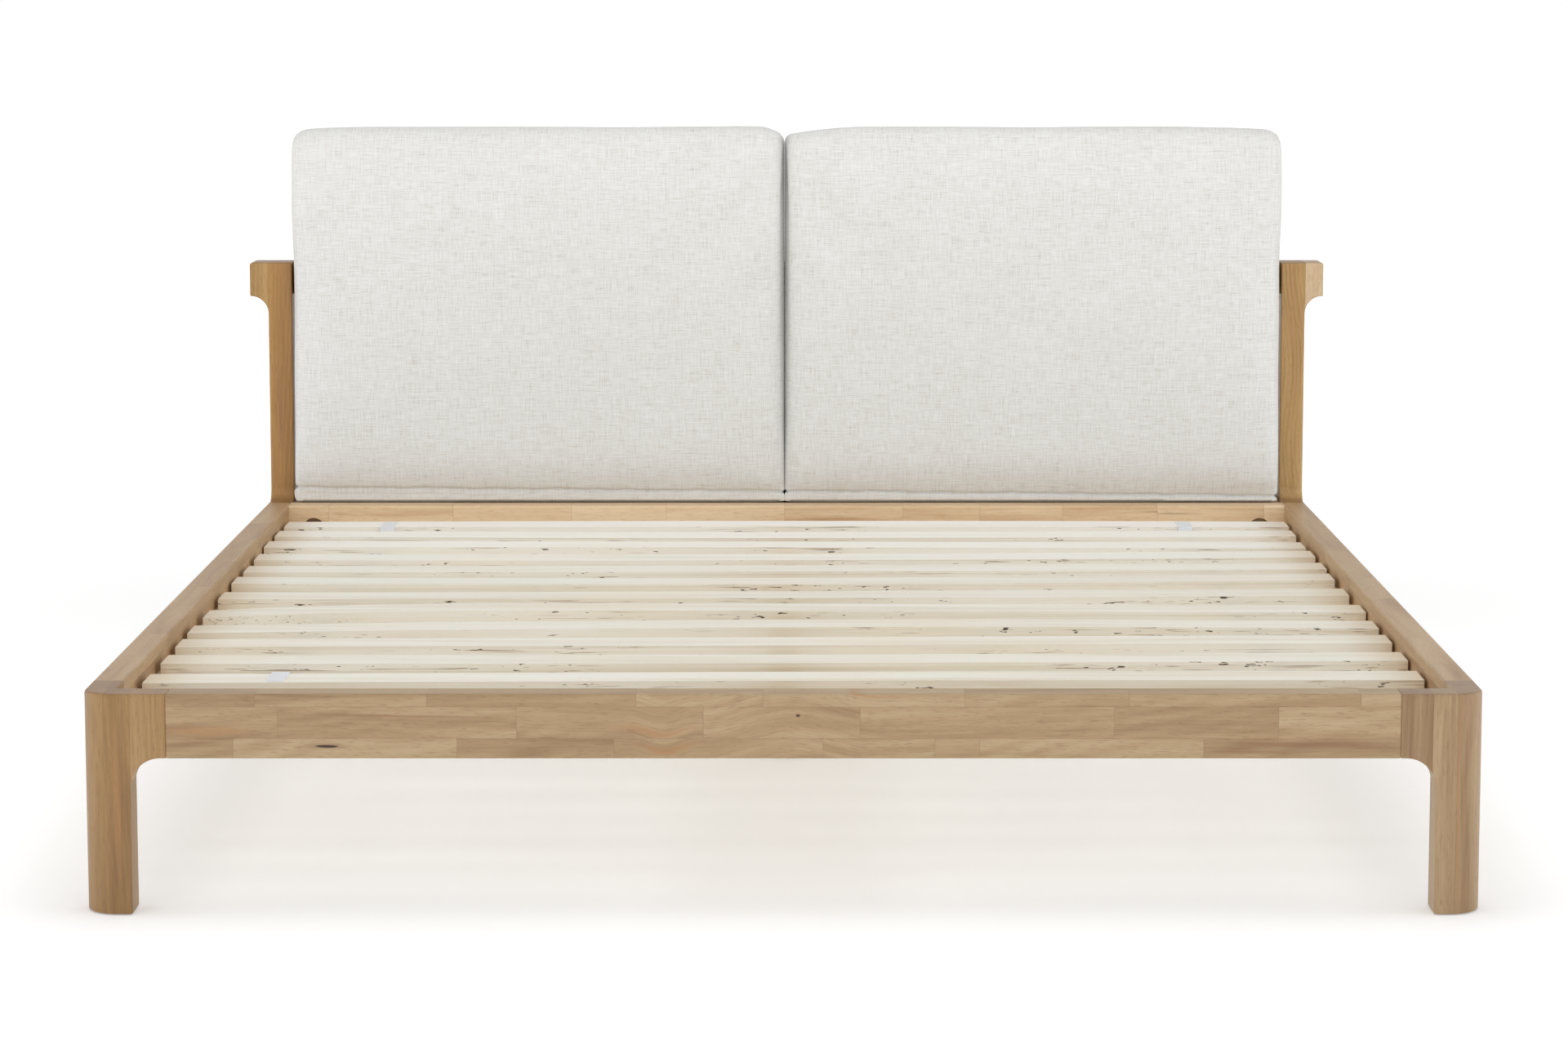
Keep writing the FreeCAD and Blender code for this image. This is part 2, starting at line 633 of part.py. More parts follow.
def cushion(side):
    """Foam and cover as one plain solid: a tall pad whose front rises from a set-back foot."""
    x = cushion_span(side)
    profile = [
        (CUSHION_BACK, CUSHION_BOTTOM),
        (CUSHION_TOE, CUSHION_BOTTOM),
        (CUSHION_FRONT, CUSHION_BAND_TOP),
        (CUSHION_FRONT, CUSHION_TOP),
        (CUSHION_BACK, CUSHION_TOP),
    ]
    outline = loop_of([Vector(x[0], along(distance), z) for distance, z in profile])
    pad = face_of(outline).extrude(ACROSS * (x[1] - x[0]))
    front_y, back_y = along(CUSHION_FRONT), along(CUSHION_BACK)

    def top_front(c):
        return close(c.z, CUSHION_TOP) and close(c.y, front_y)

    def top_back(c):
        return close(c.z, CUSHION_TOP) and close(c.y, back_y)

    def side_front(c):
        on_side = close(c.x, x[0]) or close(c.x, x[1])
        return on_side and c.y < back_y - 1 and c.z > CUSHION_BAND_TOP

    pad = softened(pad, CUSHION_TOP_ROUNDING, top_front)
    pad = softened(pad, CUSHION_BACK_ROUNDING, top_back)
    return softened(pad, CUSHION_EDGE_ROUNDING, side_front)


def cushion_backer(side):
    """The plywood panel that the cushion's foam and cover are fixed to, rounded at its top corners."""
    span = cushion_span(side)
    x = (span[0] + BACKER_INSET, span[1] - BACKER_INSET)
    z = (CUSHION_BOTTOM + BACKER_INSET, CUSHION_TOP - 2 * BACKER_INSET)
    distance = (CUSHION_BACK, CUSHION_BACK + BACKER_THICKNESS)

    def top_corner(c):
        return close(c.z, z[1]) and (close(c.x, x[0]) or close(c.x, x[1]))

    return softened(block(x, distance, z), BACKER_CORNER, top_corner)


def cushion_lining(side):
    """The thin cloth that closes the back of the cushion over the plywood."""
    x = cushion_span(side)
    z = (CUSHION_BOTTOM + LINING_INSET, CUSHION_TOP - 3 * BACKER_INSET)
    start = CUSHION_BACK + BACKER_THICKNESS
    return block((x[0] + LINING_INSET, x[1] - LINING_INSET), (start, start + LINING_THICKNESS), z)


def cushion_straps():
    """Two webbing straps from each cushion's back round the top rail."""
    t = STRAP_THICKNESS
    front = BOARD_RAIL_DISTANCE
    back = front + BOARD_RAIL_THICKNESS
    low, high = TOP_RAIL_BOTTOM, POST_TOP
    profile = [
        (front, high + STRAP_TAB),
        (front + t, high + STRAP_TAB),
        (front + t, high + t),
        (back + t, high + t),
        (back + t, low - t),
        (front + t, low - t),
        (front + t, low - STRAP_TAB),
        (front, low - STRAP_TAB),
        (front, low),
        (back, low),
        (back, high),
        (front, high),
    ]
    outline = loop_of([Vector(-STRAP_WIDTH / 2, along(distance), z) for distance, z in profile])
    strap = face_of(outline).extrude(ACROSS * STRAP_WIDTH)
    straps = []
    for side in (-1, 1):
        middle = sum(cushion_span(side)) / 2
        for offset in (-STRAP_OFFSET, STRAP_OFFSET):
            straps.append(strap.translated(Vector(middle + offset, 0, 0)))
    return straps


# ---------------------------------------------------------------- slat base


def slat_ends(number):
    """The x of the slat's left and right ends."""
    shift = SLAT_SHIFTS[number - 1]
    return shift - SLAT_LENGTH / 2, shift + SLAT_LENGTH / 2


def slat_edge(number, shift):
    """The slat's front edge from left to right, moved back by the shift."""
    left_x, right_x = slat_ends(number)
    left, middle, right = [along(distance + shift) for distance in SLAT_LINES[number - 1]]
    left_end = Vector(left_x, left, SLAT_BOTTOM)
    right_end = Vector(right_x, right, SLAT_BOTTOM)
    if number != CROOKED_SLAT:
        centre_x = (left_x + right_x) / 2
        return [arc(left_end, Vector(centre_x, middle, SLAT_BOTTOM), right_end)]
    crook = Vector(CROOK_X, middle, SLAT_BOTTOM)
    slope = (right - middle) / (right_x - CROOK_X)
    run = left_x - CROOK_X
    drop = left - (middle + slope * run)
    bend_middle = Vector(CROOK_X + run / 2, middle + slope * run / 2 + drop / 4, SLAT_BOTTOM)
    return [arc(left_end, bend_middle, crook), line(crook, right_end)]


def slat_distance(number, x):
    """The distance of the slat's front edge at one x, near enough to place the webbing."""
    left_x, right_x = slat_ends(number)
    left, middle, right = SLAT_LINES[number - 1]
    end, end_x = (left, left_x) if x < 0 else (right, right_x)
    return middle + (end - middle) * (x / end_x) ** 2


def slat(number):
    front, back = slat_edge(number, 0), slat_edge(number, SLAT_WIDTH)
    left = line(back[0].firstVertex().Point, front[0].firstVertex().Point)
    right = line(front[-1].lastVertex().Point, back[-1].lastVertex().Point)
    return face_of(front + [right] + back[::-1] + [left]).extrude(UP * SLAT_THICKNESS)


def ledger():
    """The strip on the left side rail that carries the slat ends."""
    z = (SLAT_BOTTOM - LEDGER_HEIGHT, SLAT_BOTTOM)
    inner_x = -INNER_X + LEDGER_WIDTH
    strip = block((-INNER_X, inner_x), (LEDGER_START, HEAD_RAIL_DISTANCE), z)
    return softened(strip, INNER_ROUNDING, lambda c: close(c.x, inner_x) and close(c.z, z[0]))


def slat_webbing(x, foot_turned_up):
    """The strap that spaces the slats: under them all, and turned up over the head slat's front.

    One strap is turned up over the foot slat's back too. The other ends under that slat.
    """
    t = WEBBING_THICKNESS
    foot_slat = slat_distance(len(SLAT_LINES), x)
    head_slat = slat_distance(1, x)
    head_front = head_slat - WEBBING_SLACK
    foot_back = foot_slat + SLAT_WIDTH + WEBBING_SLACK
    low, high = SLAT_BOTTOM - t, SLAT_TOP + t
    head_turn = [
        (head_front, low + t),
        (head_front, high),
        (head_slat + WEBBING_HEAD_TURN, high),
        (head_slat + WEBBING_HEAD_TURN, SLAT_TOP),
        (head_front + t, SLAT_TOP),
        (head_front + t, low),
    ]
    foot_turn = [
        (foot_back - t, low),
        (foot_back - t, SLAT_TOP),
        (foot_slat + SLAT_WIDTH - WEBBING_FOOT_TURN, SLAT_TOP),
        (foot_slat + SLAT_WIDTH - WEBBING_FOOT_TURN, high),
        (foot_back, high),
        (foot_back, low + t),
    ]
    foot_end = [
        (foot_slat + WEBBING_SLACK, low),
        (foot_slat + WEBBING_SLACK, low + t),
    ]
    profile = head_turn + (foot_turn if foot_turned_up else foot_end)
    outline = loop_of([Vector(x - WEBBING_WIDTH / 2, along(distance), z) for distance, z in profile])
    return face_of(outline).extrude(ACROSS * WEBBING_WIDTH)


def slat_staples():
    """The staple crowns under the webbing, one at each slat it passes under."""
    low = SLAT_BOTTOM - WEBBING_THICKNESS
    z = (low - STAPLE_WIRE, low)
    staples = []
    for number in range(2, len(SLAT_LINES)):
        for x in (-WEBBING_X, WEBBING_X):
            middle = slat_distance(number, x) + SLAT_WIDTH / 2
            width = (x - STAPLE_WIDTH / 2, x + STAPLE_WIDTH / 2)
            staples.append(block(width, (middle - STAPLE_WIRE, middle + STAPLE_WIRE), z))
    return staples


# ---------------------------------------------------------------- centre support


def centre_beam():
    distance = (FRONT_RAIL_THICKNESS + HANGER_THICKNESS, HEAD_RAIL_DISTANCE - HANGER_THICKNESS)
    return block((-BEAM_WIDTH / 2, BEAM_WIDTH / 2), distance, (BEAM_BOTTOM, SLAT_BOTTOM))


def beam_hanger(wall, inward):
    """A bent steel stirrup: a plate on the rail at the wall distance, with a tray for the beam."""
    t = HANGER_THICKNESS
    half = BEAM_WIDTH / 2
    low = BEAM_BOTTOM - t
    flange_x = half + HANGER_FLANGE
    plate_span = sorted((wall, wall + inward * t))
    tray_span = sorted((wall, wall + inward * HANGER_DEPTH))
    hollow_span = sorted((wall + inward * t, wall + inward * 2 * HANGER_DEPTH))
    plate = block((-flange_x, flange_x), plate_span, (low, SLAT_BOTTOM - HANGER_PLATE_DROP))
    tray = block((-half - t, half + t), tray_span, (low, SLAT_BOTTOM - HANGER_TRAY_DROP))
    hollow = block((-half, half), hollow_span, (BEAM_BOTTOM, SLAT_TOP))
    return plate.fuse(tray).cut(hollow).removeSplitter()


def hanger_screws():
    """Two screws in each flange of the beam hangers."""
    x = BEAM_WIDTH / 2 + HANGER_FLANGE / 2
    heights = (BEAM_BOTTOM + HANGER_SCREW_INSET, SLAT_BOTTOM - HANGER_PLATE_DROP - HANGER_SCREW_INSET)
    screws = []
    for wall, inward in ((FRONT_RAIL_THICKNESS, 1), (HEAD_RAIL_DISTANCE, -1)):
        y = along(wall + inward * HANGER_THICKNESS)
        for z in heights:
            head = Vector(-x, y, z)
            screws.append(screw(head, TOWARDS_HEAD * -inward, HANGER_SCREW_LENGTH, SCREW_RADIUS))
    return both_sides(screws)


def centre_leg_plate():
    half = BEAM_WIDTH / 2
    span = (CENTRE_LEG_DISTANCE - LEG_PLATE_REACH, CENTRE_LEG_DISTANCE + LEG_PLATE_REACH)
    return block((-half, half), span, (BEAM_BOTTOM - LEG_PLATE_THICKNESS, BEAM_BOTTOM))


def centre_leg_screws():
    """Screws up through the leg plate into the beam, and down through it into the leg."""
    screws = []
    plate_low = BEAM_BOTTOM - LEG_PLATE_THICKNESS
    for x in (-LEG_PLATE_SCREW_X, LEG_PLATE_SCREW_X):
        for step in (-LEG_PLATE_SCREW_REACH, LEG_PLATE_SCREW_REACH):
            head = Vector(x, along(CENTRE_LEG_DISTANCE + step), plate_low)
            screws.append(screw(head, UP, LEG_PLATE_SCREW_LENGTH, SCREW_RADIUS))
        head = Vector(x / 2, along(CENTRE_LEG_DISTANCE), BEAM_BOTTOM)
        screws.append(screw(head, DOWN, LEG_SCREW_LENGTH, SCREW_RADIUS))
    return screws


def stem_axis(z):
    return Vector(0, along(CENTRE_LEG_DISTANCE), z)


def centre_leg():
    half = CENTRE_LEG_SIZE / 2
    top = BEAM_BOTTOM - LEG_PLATE_THICKNESS
    distance = (CENTRE_LEG_DISTANCE - half, CENTRE_LEG_DISTANCE + half)
    leg = block((-half, half), distance, (CENTRE_LEG_BOTTOM, top))
    middle_z = (CENTRE_LEG_BOTTOM + top) / 2
    leg = softened(leg, INNER_ROUNDING, lambda c: close(abs(c.x), half) and close(c.z, middle_z))
    leg = leg.cut(rod(stem_axis(CENTRE_LEG_BOTTOM), UP, INSERT_LENGTH, INSERT_RADIUS))
    clearance = LEVELLER_STEM_RADIUS + LEVELLER_CLEARANCE
    return leg.cut(rod(stem_axis(CENTRE_LEG_BOTTOM), UP, LEVELLER_STEM_TOP, clearance))


def leveller_insert():
    """The threaded insert in the foot of the centre leg."""
    insert = rod(stem_axis(CENTRE_LEG_BOTTOM), UP, INSERT_LENGTH, INSERT_RADIUS)
    clearance = LEVELLER_STEM_RADIUS + LEVELLER_CLEARANCE
    return insert.cut(rod(stem_axis(CENTRE_LEG_BOTTOM), UP, INSERT_LENGTH, clearance))


def leveller_base():
    """The moulded foot of the leveller, with its stem's end set in it."""
    base = rod(stem_axis(0), UP, LEVELLER_BASE_HEIGHT, LEVELLER_BASE_RADIUS)
    base = softened(base, LEVELLER_ROUNDING, lambda c: close(c.z, LEVELLER_BASE_HEIGHT))
    socket = rod(stem_axis(LEVELLER_SOCKET_Z), UP, LEVELLER_BASE_HEIGHT, LEVELLER_STEM_RADIUS)
    return base.cut(socket)


def leveller_stem():
    length = LEVELLER_STEM_TOP - LEVELLER_SOCKET_Z
    return rod(stem_axis(LEVELLER_SOCKET_Z), UP, length, LEVELLER_STEM_RADIUS)


def foot_pads():
    """Felt discs under the four legs."""
    post_middle = POST_DISTANCE + POST_DEPTH / 2
    front = Vector(LEFT + LEG_WIDTH / 2, along(LEG_DEPTH / 2), 0)
    rear = Vector(LEFT + SIDE_RAIL_THICKNESS / 2, along(post_middle), 0)
    return both_sides([rod(centre, UP, PAD_THICKNESS, PAD_RADIUS) for centre in (front, rear)])


# ---------------------------------------------------------------- the whole bed


def bed_pieces():
    """Each node's name and its shape or group of shapes."""
    dowels = corner_dowels()
    board_dowels = headboard_dowels()
    plates = joint_plates()
    plate_screws = joint_plate_screws()
    bolts = bed_bolts()
    bolt_holes = bed_bolt_holes()
    nuts = barrel_nuts(bolts)
    rail_bolts = head_rail_bolts()
    washers = head_rail_washers(rail_bolts)
    inserts = head_rail_inserts(rail_bolts)
    strip_screws = ledger_screws()
    rear_screws = ledge_screws()
    front_dowels = ledge_dowels()
    stirrup_screws = hanger_screws()
    leg_screws = centre_leg_screws()

    leg = bored(front_leg(), dowels + plate_screws)
    cross_holes = barrel_nut_holes() + [insert_hole(), head_rail_bolt_hole()]
    side = bored(side_rail(), dowels + plate_screws + bolt_holes + cross_holes + strip_screws)
    post, ear = post_and_ear()
    post = bored(post, bolt_holes + board_dowels)
    strip = bored(ledger(), strip_screws)
    rail_holes = both_sides([head_rail_bolt_hole()]) + front_dowels + stirrup_screws
    board_holes = board_dowels + rear_screws
    top_span = (TOP_RAIL_BOTTOM, POST_TOP)
    low_span = (RAIL_BOTTOM, RAIL_TOP)

    pieces = {
        "front_leg_left": leg,
        "front_leg_right": mirrored(leg),
        "front_rail": bored(front_rail(), dowels + plate_screws + stirrup_screws),
        "side_rail_left": side,
        "side_rail_right": mirrored(side),
        "head_rail": bored(head_rail(), rail_holes),
        "rear_post_left": post,
        "rear_post_right": mirrored(post),
        "post_ear_left": ear,
        "post_ear_right": mirrored(ear),
        "headboard_top_rail": bored(board_rail(top_span), board_dowels),
        "headboard_lower_rail": bored(board_rail(low_span), board_holes),
        "headboard_stile": bored(headboard_stile(), board_dowels),
        "cushion_ledge": bored(cushion_ledge(), rear_screws + front_dowels),
        "cushion_straps": cushion_straps(),
        "ledger_left": strip,
        "ledger_right": mirrored(strip),
        "slat_webbing_left": slat_webbing(-WEBBING_X, True),
        "slat_webbing_right": slat_webbing(WEBBING_X, False),
        "slat_staples": slat_staples(),
        "centre_beam": bored(centre_beam(), leg_screws),
        "beam_hanger_foot": bored(beam_hanger(FRONT_RAIL_THICKNESS, 1), stirrup_screws),
        "beam_hanger_head": bored(beam_hanger(HEAD_RAIL_DISTANCE, -1), stirrup_screws),
        "centre_leg": bored(centre_leg(), leg_screws),
        "centre_leg_plate": bored(centre_leg_plate(), leg_screws),
        "leveller_insert": leveller_insert(),
        "leveller_base": leveller_base(),
        "leveller_stem": leveller_stem(),
        "foot_pads": foot_pads(),
        "corner_dowels": dowels,
        "headboard_dowels": board_dowels,
        "joint_plates": [bored(plate, plate_screws) for plate in plates],
        "joint_plate_screws": plate_screws,
        "bed_bolts": bolts,
        "barrel_nuts": nuts,
        "head_rail_bolts": rail_bolts,
        "head_rail_washers": washers,
        "head_rail_inserts": inserts,
        "ledger_screws": both_sides(strip_screws),
        "support_screws": rear_screws + stirrup_screws + leg_screws,
        "ledge_dowels": front_dowels,
    }
    for side_name, side_sign in (("left", -1), ("right", 1)):
        pieces[f"cushion_{side_name}"] = cushion(side_sign)
        pieces[f"cushion_backer_{side_name}"] = cushion_backer(side_sign)
        pieces[f"cushion_lining_{side_name}"] = cushion_lining(side_sign)
    for number in range(1, len(SLAT_LINES) + 1):
        pieces[f"slat_{number:02d}"] = slat(number)
    return pieces


def main():
    os.makedirs("parts", exist_ok=True)
    for name, shape in bed_pieces().items():
        if isinstance(shape, list):
            shape = Part.Compound(shape)
        if not shape.isValid():
            raise ValueError(f"{name} isn't a valid shape")
        shape.exportStep(f"parts/{name}.step")


main()
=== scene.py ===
import json
import math
import random

import bmesh
import bpy
import numpy as np
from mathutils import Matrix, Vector


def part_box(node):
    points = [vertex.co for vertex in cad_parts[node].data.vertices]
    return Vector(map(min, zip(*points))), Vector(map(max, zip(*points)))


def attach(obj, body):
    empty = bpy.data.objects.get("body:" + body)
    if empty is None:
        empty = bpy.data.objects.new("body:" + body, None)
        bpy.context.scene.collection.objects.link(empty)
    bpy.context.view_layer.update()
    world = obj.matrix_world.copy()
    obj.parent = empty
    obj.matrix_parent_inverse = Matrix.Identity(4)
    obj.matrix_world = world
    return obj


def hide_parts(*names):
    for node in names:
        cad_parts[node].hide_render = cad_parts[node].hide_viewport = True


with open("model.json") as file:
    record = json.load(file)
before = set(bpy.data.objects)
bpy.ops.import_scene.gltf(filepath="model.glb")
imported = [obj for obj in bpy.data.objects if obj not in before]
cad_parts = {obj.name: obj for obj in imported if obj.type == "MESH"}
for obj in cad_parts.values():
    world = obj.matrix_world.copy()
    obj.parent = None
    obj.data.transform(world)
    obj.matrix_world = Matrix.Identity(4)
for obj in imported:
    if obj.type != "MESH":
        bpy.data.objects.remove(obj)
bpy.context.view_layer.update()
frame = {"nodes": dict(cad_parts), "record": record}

NODES = frame["nodes"]
BED = "bed"
AXES = ("x", "y", "z")
RIGHT = Vector((1.0, 0.0, 0.0))
BACK = Vector((0.0, 1.0, 0.0))
UP = Vector((0.0, 0.0, 1.0))


# ---- node graphs


def linear(red, green, blue):
    """A colour given as display values from 0 to 255, as the shader wants it."""
    channels = []
    for value in (red, green, blue):
        c = value / 255
        channels.append(c / 12.92 if c <= 0.04045 else ((c + 0.055) / 1.055) ** 2.4)
    return (*channels, 1.0)


class Graph:
    """A material under construction. Values passed to its methods are numbers or sockets."""

    def __init__(self, name):
        self.material = bpy.data.materials.new(name)
        self.material.use_nodes = True
        self.nodes = self.material.node_tree.nodes
        self.links = self.material.node_tree.links
        self.shader = self.nodes["Principled BSDF"]

    def put(self, socket, value):
        if isinstance(value, bpy.types.NodeSocket):
            self.links.new(value, socket)
        else:
            socket.default_value = value

    def math(self, operation, a, b=0.0, c=0.0):
        node = self.nodes.new("ShaderNodeMath")
        node.operation = operation
        for socket, value in zip(node.inputs, (a, b, c)):
            self.put(socket, value)
        return node.outputs[0]

    def add(self, a, b):
        return self.math("ADD", a, b)

    def sum(self, first, *others):
        for other in others:
            first = self.add(first, other)
        return first

    def subtract(self, a, b):
        return self.math("SUBTRACT", a, b)

    def times(self, a, b):
        return self.math("MULTIPLY", a, b)

    def hypotenuse(self, a, b):
        return self.math("SQRT", self.add(self.times(a, a), self.times(b, b)))

    def swing(self, value, amount):
        """A value between 0 and 1, as a swing about zero."""
        return self.times(self.subtract(value, 0.5), amount)

    def wave(self, value, phase_rate):
        return self.math("SINE", self.times(value, phase_rate))

    def above(self, a, threshold):
        return self.math("GREATER_THAN", a, threshold)

    def smooth(self, value, low, high):
        """0 at low, 1 at high and an S curve between them."""
        node = self.nodes.new("ShaderNodeMapRange")
        node.interpolation_type = "SMOOTHSTEP"
        self.put(node.inputs["Value"], value)
        node.inputs["From Min"].default_value = low
        node.inputs["From Max"].default_value = high
        return node.outputs["Result"]

    def fade(self, value, near, far):
        """1 up to near, falling to 0 at far."""
        return self.subtract(1.0, self.smooth(value, near, far))

    def position(self):
        """The x, y and z of the point, in metres in the object's own frame."""
        coordinates = self.nodes.new("ShaderNodeTexCoord")
        split = self.nodes.new("ShaderNodeSeparateXYZ")
        self.links.new(coordinates.outputs["Object"], split.inputs[0])
        return dict(zip(AXES, split.outputs))

    def facing(self):
        """How much the surface faces along each axis, from 0 to 1."""
        geometry = self.nodes.new("ShaderNodeNewGeometry")
        split = self.nodes.new("ShaderNodeSeparateXYZ")
        self.links.new(geometry.outputs["Normal"], split.inputs[0])
        return {axis: self.math("ABSOLUTE", out) for axis, out in zip(AXES, split.outputs)}

    def vector(self, x, y, z):
        node = self.nodes.new("ShaderNodeCombineXYZ")
        for socket, value in zip(node.inputs, (x, y, z)):
            self.put(socket, value)
        return node.outputs[0]

    def scaled(self, at, x, y, z):
        """A position stretched along each axis, for a pattern."""
        return self.vector(self.times(at["x"], x), self.times(at["y"], y), self.times(at["z"], z))

    def noise(self, vector, detail=2.0, roughness=0.5, distortion=0.0):
        node = self.nodes.new("ShaderNodeTexNoise")
        node.inputs["Scale"].default_value = 1.0
        self.links.new(vector, node.inputs["Vector"])
        node.inputs["Detail"].default_value = detail
        node.inputs["Roughness"].default_value = roughness
        node.inputs["Distortion"].default_value = distortion
        return node.outputs["Fac"]

    def ramp(self, factor, stops, interpolation="LINEAR"):
        """A colour ramp. Each stop is a position and a colour."""
        node = self.nodes.new("ShaderNodeValToRGB")
        node.color_ramp.interpolation = interpolation
        elements = node.color_ramp.elements
        while len(elements) < len(stops):
            elements.new(1.0)
        for element, (position, colour) in zip(elements, stops):
            element.position = position
            element.color = colour
        self.put(node.inputs[0], factor)
        return node.outputs["Color"]

    def mix(self, factor, a, b):
        node = self.nodes.new("ShaderNodeMix")
        node.data_type = "RGBA"
        self.put(node.inputs["Factor"], factor)
        self.put(node.inputs[6], a)
        self.put(node.inputs[7], b)
        return node.outputs[2]

    def split(self, colour):
        node = self.nodes.new("ShaderNodeSeparateColor")
        self.links.new(colour, node.inputs[0])
        return node.outputs

    def bump(self, height, distance, strength=1.0):
        node = self.nodes.new("ShaderNodeBump")
        self.links.new(height, node.inputs["Height"])
        node.inputs["Distance"].default_value = distance
        node.inputs["Strength"].default_value = strength
        return node.outputs[0]

    def finish(self, colour, roughness, normal=None, **constants):
        """Connects the shader. Constants are set on its own sockets, by their names with _ for a space."""
        self.put(self.shader.inputs["Base Color"], colour)
        self.put(self.shader.inputs["Roughness"], roughness)
        if normal is not None:
            self.links.new(normal, self.shader.inputs["Normal"])
        for name, value in constants.items():
            self.shader.inputs[name.replace("_", " ")].default_value = value
        return self.material


# ---- wood

# Each palette is dark, middle and light wood.
HONEY = (linear(134, 101, 66), linear(171, 143, 106), linear(191, 168, 134))
DEEP_HONEY = (linear(130, 88, 42), linear(168, 125, 66), linear(194, 154, 94))
ORANGE_HONEY = (linear(122, 87, 46), linear(157, 121, 74), linear(180, 148, 104))
WARM_HONEY = (linear(134, 94, 46), linear(172, 136, 82), linear(192, 158, 106))
RAIL_HONEY = (linear(140, 102, 66), linear(178, 146, 106), linear(198, 170, 132))
EAR_HONEY = (linear(148, 112, 76), linear(186, 157, 119), linear(206, 182, 148))
PALE_HONEY = (linear(186, 146, 104), linear(220, 192, 154), linear(236, 214, 180))
KNOT_BROWN = linear(66, 36, 24)
END_GRAIN_BROWN = linear(134, 104, 80)
JOINT_BROWN = linear(120, 86, 58)
SCRATCH_PALE = linear(226, 204, 176)
JOINT_HALF = 0.0007
RINGS_PER_METRE = 1050.0 / (2 * math.pi)


def random_row(seed, low, high, start, end, length, contrast=0.16):
    """A lamination between two heights, cut into blocks of uneven length and tone."""
    rng = random.Random(seed)
    blocks = []
    at = start
    while at < end:
        blocks.append((at, 0.5 + rng.uniform(-contrast, contrast)))
        at += length * rng.uniform(0.6, 1.4)
    return (low, high, blocks)


def row_values(graph, along, blocks, span, seed):
    """The tone and the number of the block at a point of one row, as a pair of sockets."""
    start, end = span
    factor = graph.math("DIVIDE", graph.subtract(along, start), end - start)
    rng = random.Random(seed)
    stops = []
    for block_start, tone in blocks:
        position = min(max((block_start - start) / (end - start), 0.0), 1.0)
        stops.append((position, (tone, rng.random(), 0.0, 1.0)))
    red_green = graph.split(graph.ramp(factor, stops, "CONSTANT"))
    return red_green[0], red_green[1]


def block_pattern(graph, along, across, rows, span, seed):
    """The tone, the number and the joint lines of glued blocks, each as a socket."""
    tone, number, joint = None, None, None
    for index, (low, high, blocks) in enumerate(rows):
        row_seed = seed * 100 + index
        row_tone, row_number = row_values(graph, along, blocks, span, row_seed)
        before = row_values(graph, graph.subtract(along, JOINT_HALF), blocks, span, row_seed)[1]
        after = row_values(graph, graph.add(along, JOINT_HALF), blocks, span, row_seed)[1]
        change = graph.math("ABSOLUTE", graph.subtract(after, before))
        row_joint = graph.above(change, 0.001)
        if tone is None:
            tone, number, joint = row_tone, row_number, row_joint
            continue
        inside = graph.above(across, low)
        near_edge = graph.fade(graph.math("ABSOLUTE", graph.subtract(across, low)), 0.0003, 0.0008)
        tone = graph.math("MULTIPLY_ADD", inside, graph.subtract(row_tone, tone), tone)
        number = graph.math("MULTIPLY_ADD", inside, graph.subtract(row_number, number), number)
        joint = graph.math("MULTIPLY_ADD", inside, graph.subtract(row_joint, joint), joint)
        joint = graph.math("MAXIMUM", joint, near_edge)
    return tone, number, joint


def ellipse(graph, along, across, spot):
    """The distance from a spot's middle, as 1 at the rim of its ellipse."""
    middle_along, middle_across, half_along, half_across = spot
    u = graph.math("DIVIDE", graph.subtract(along, middle_along), half_along)
    v = graph.math("DIVIDE", graph.subtract(across, middle_across), half_across)
    return graph.hypotenuse(u, v)


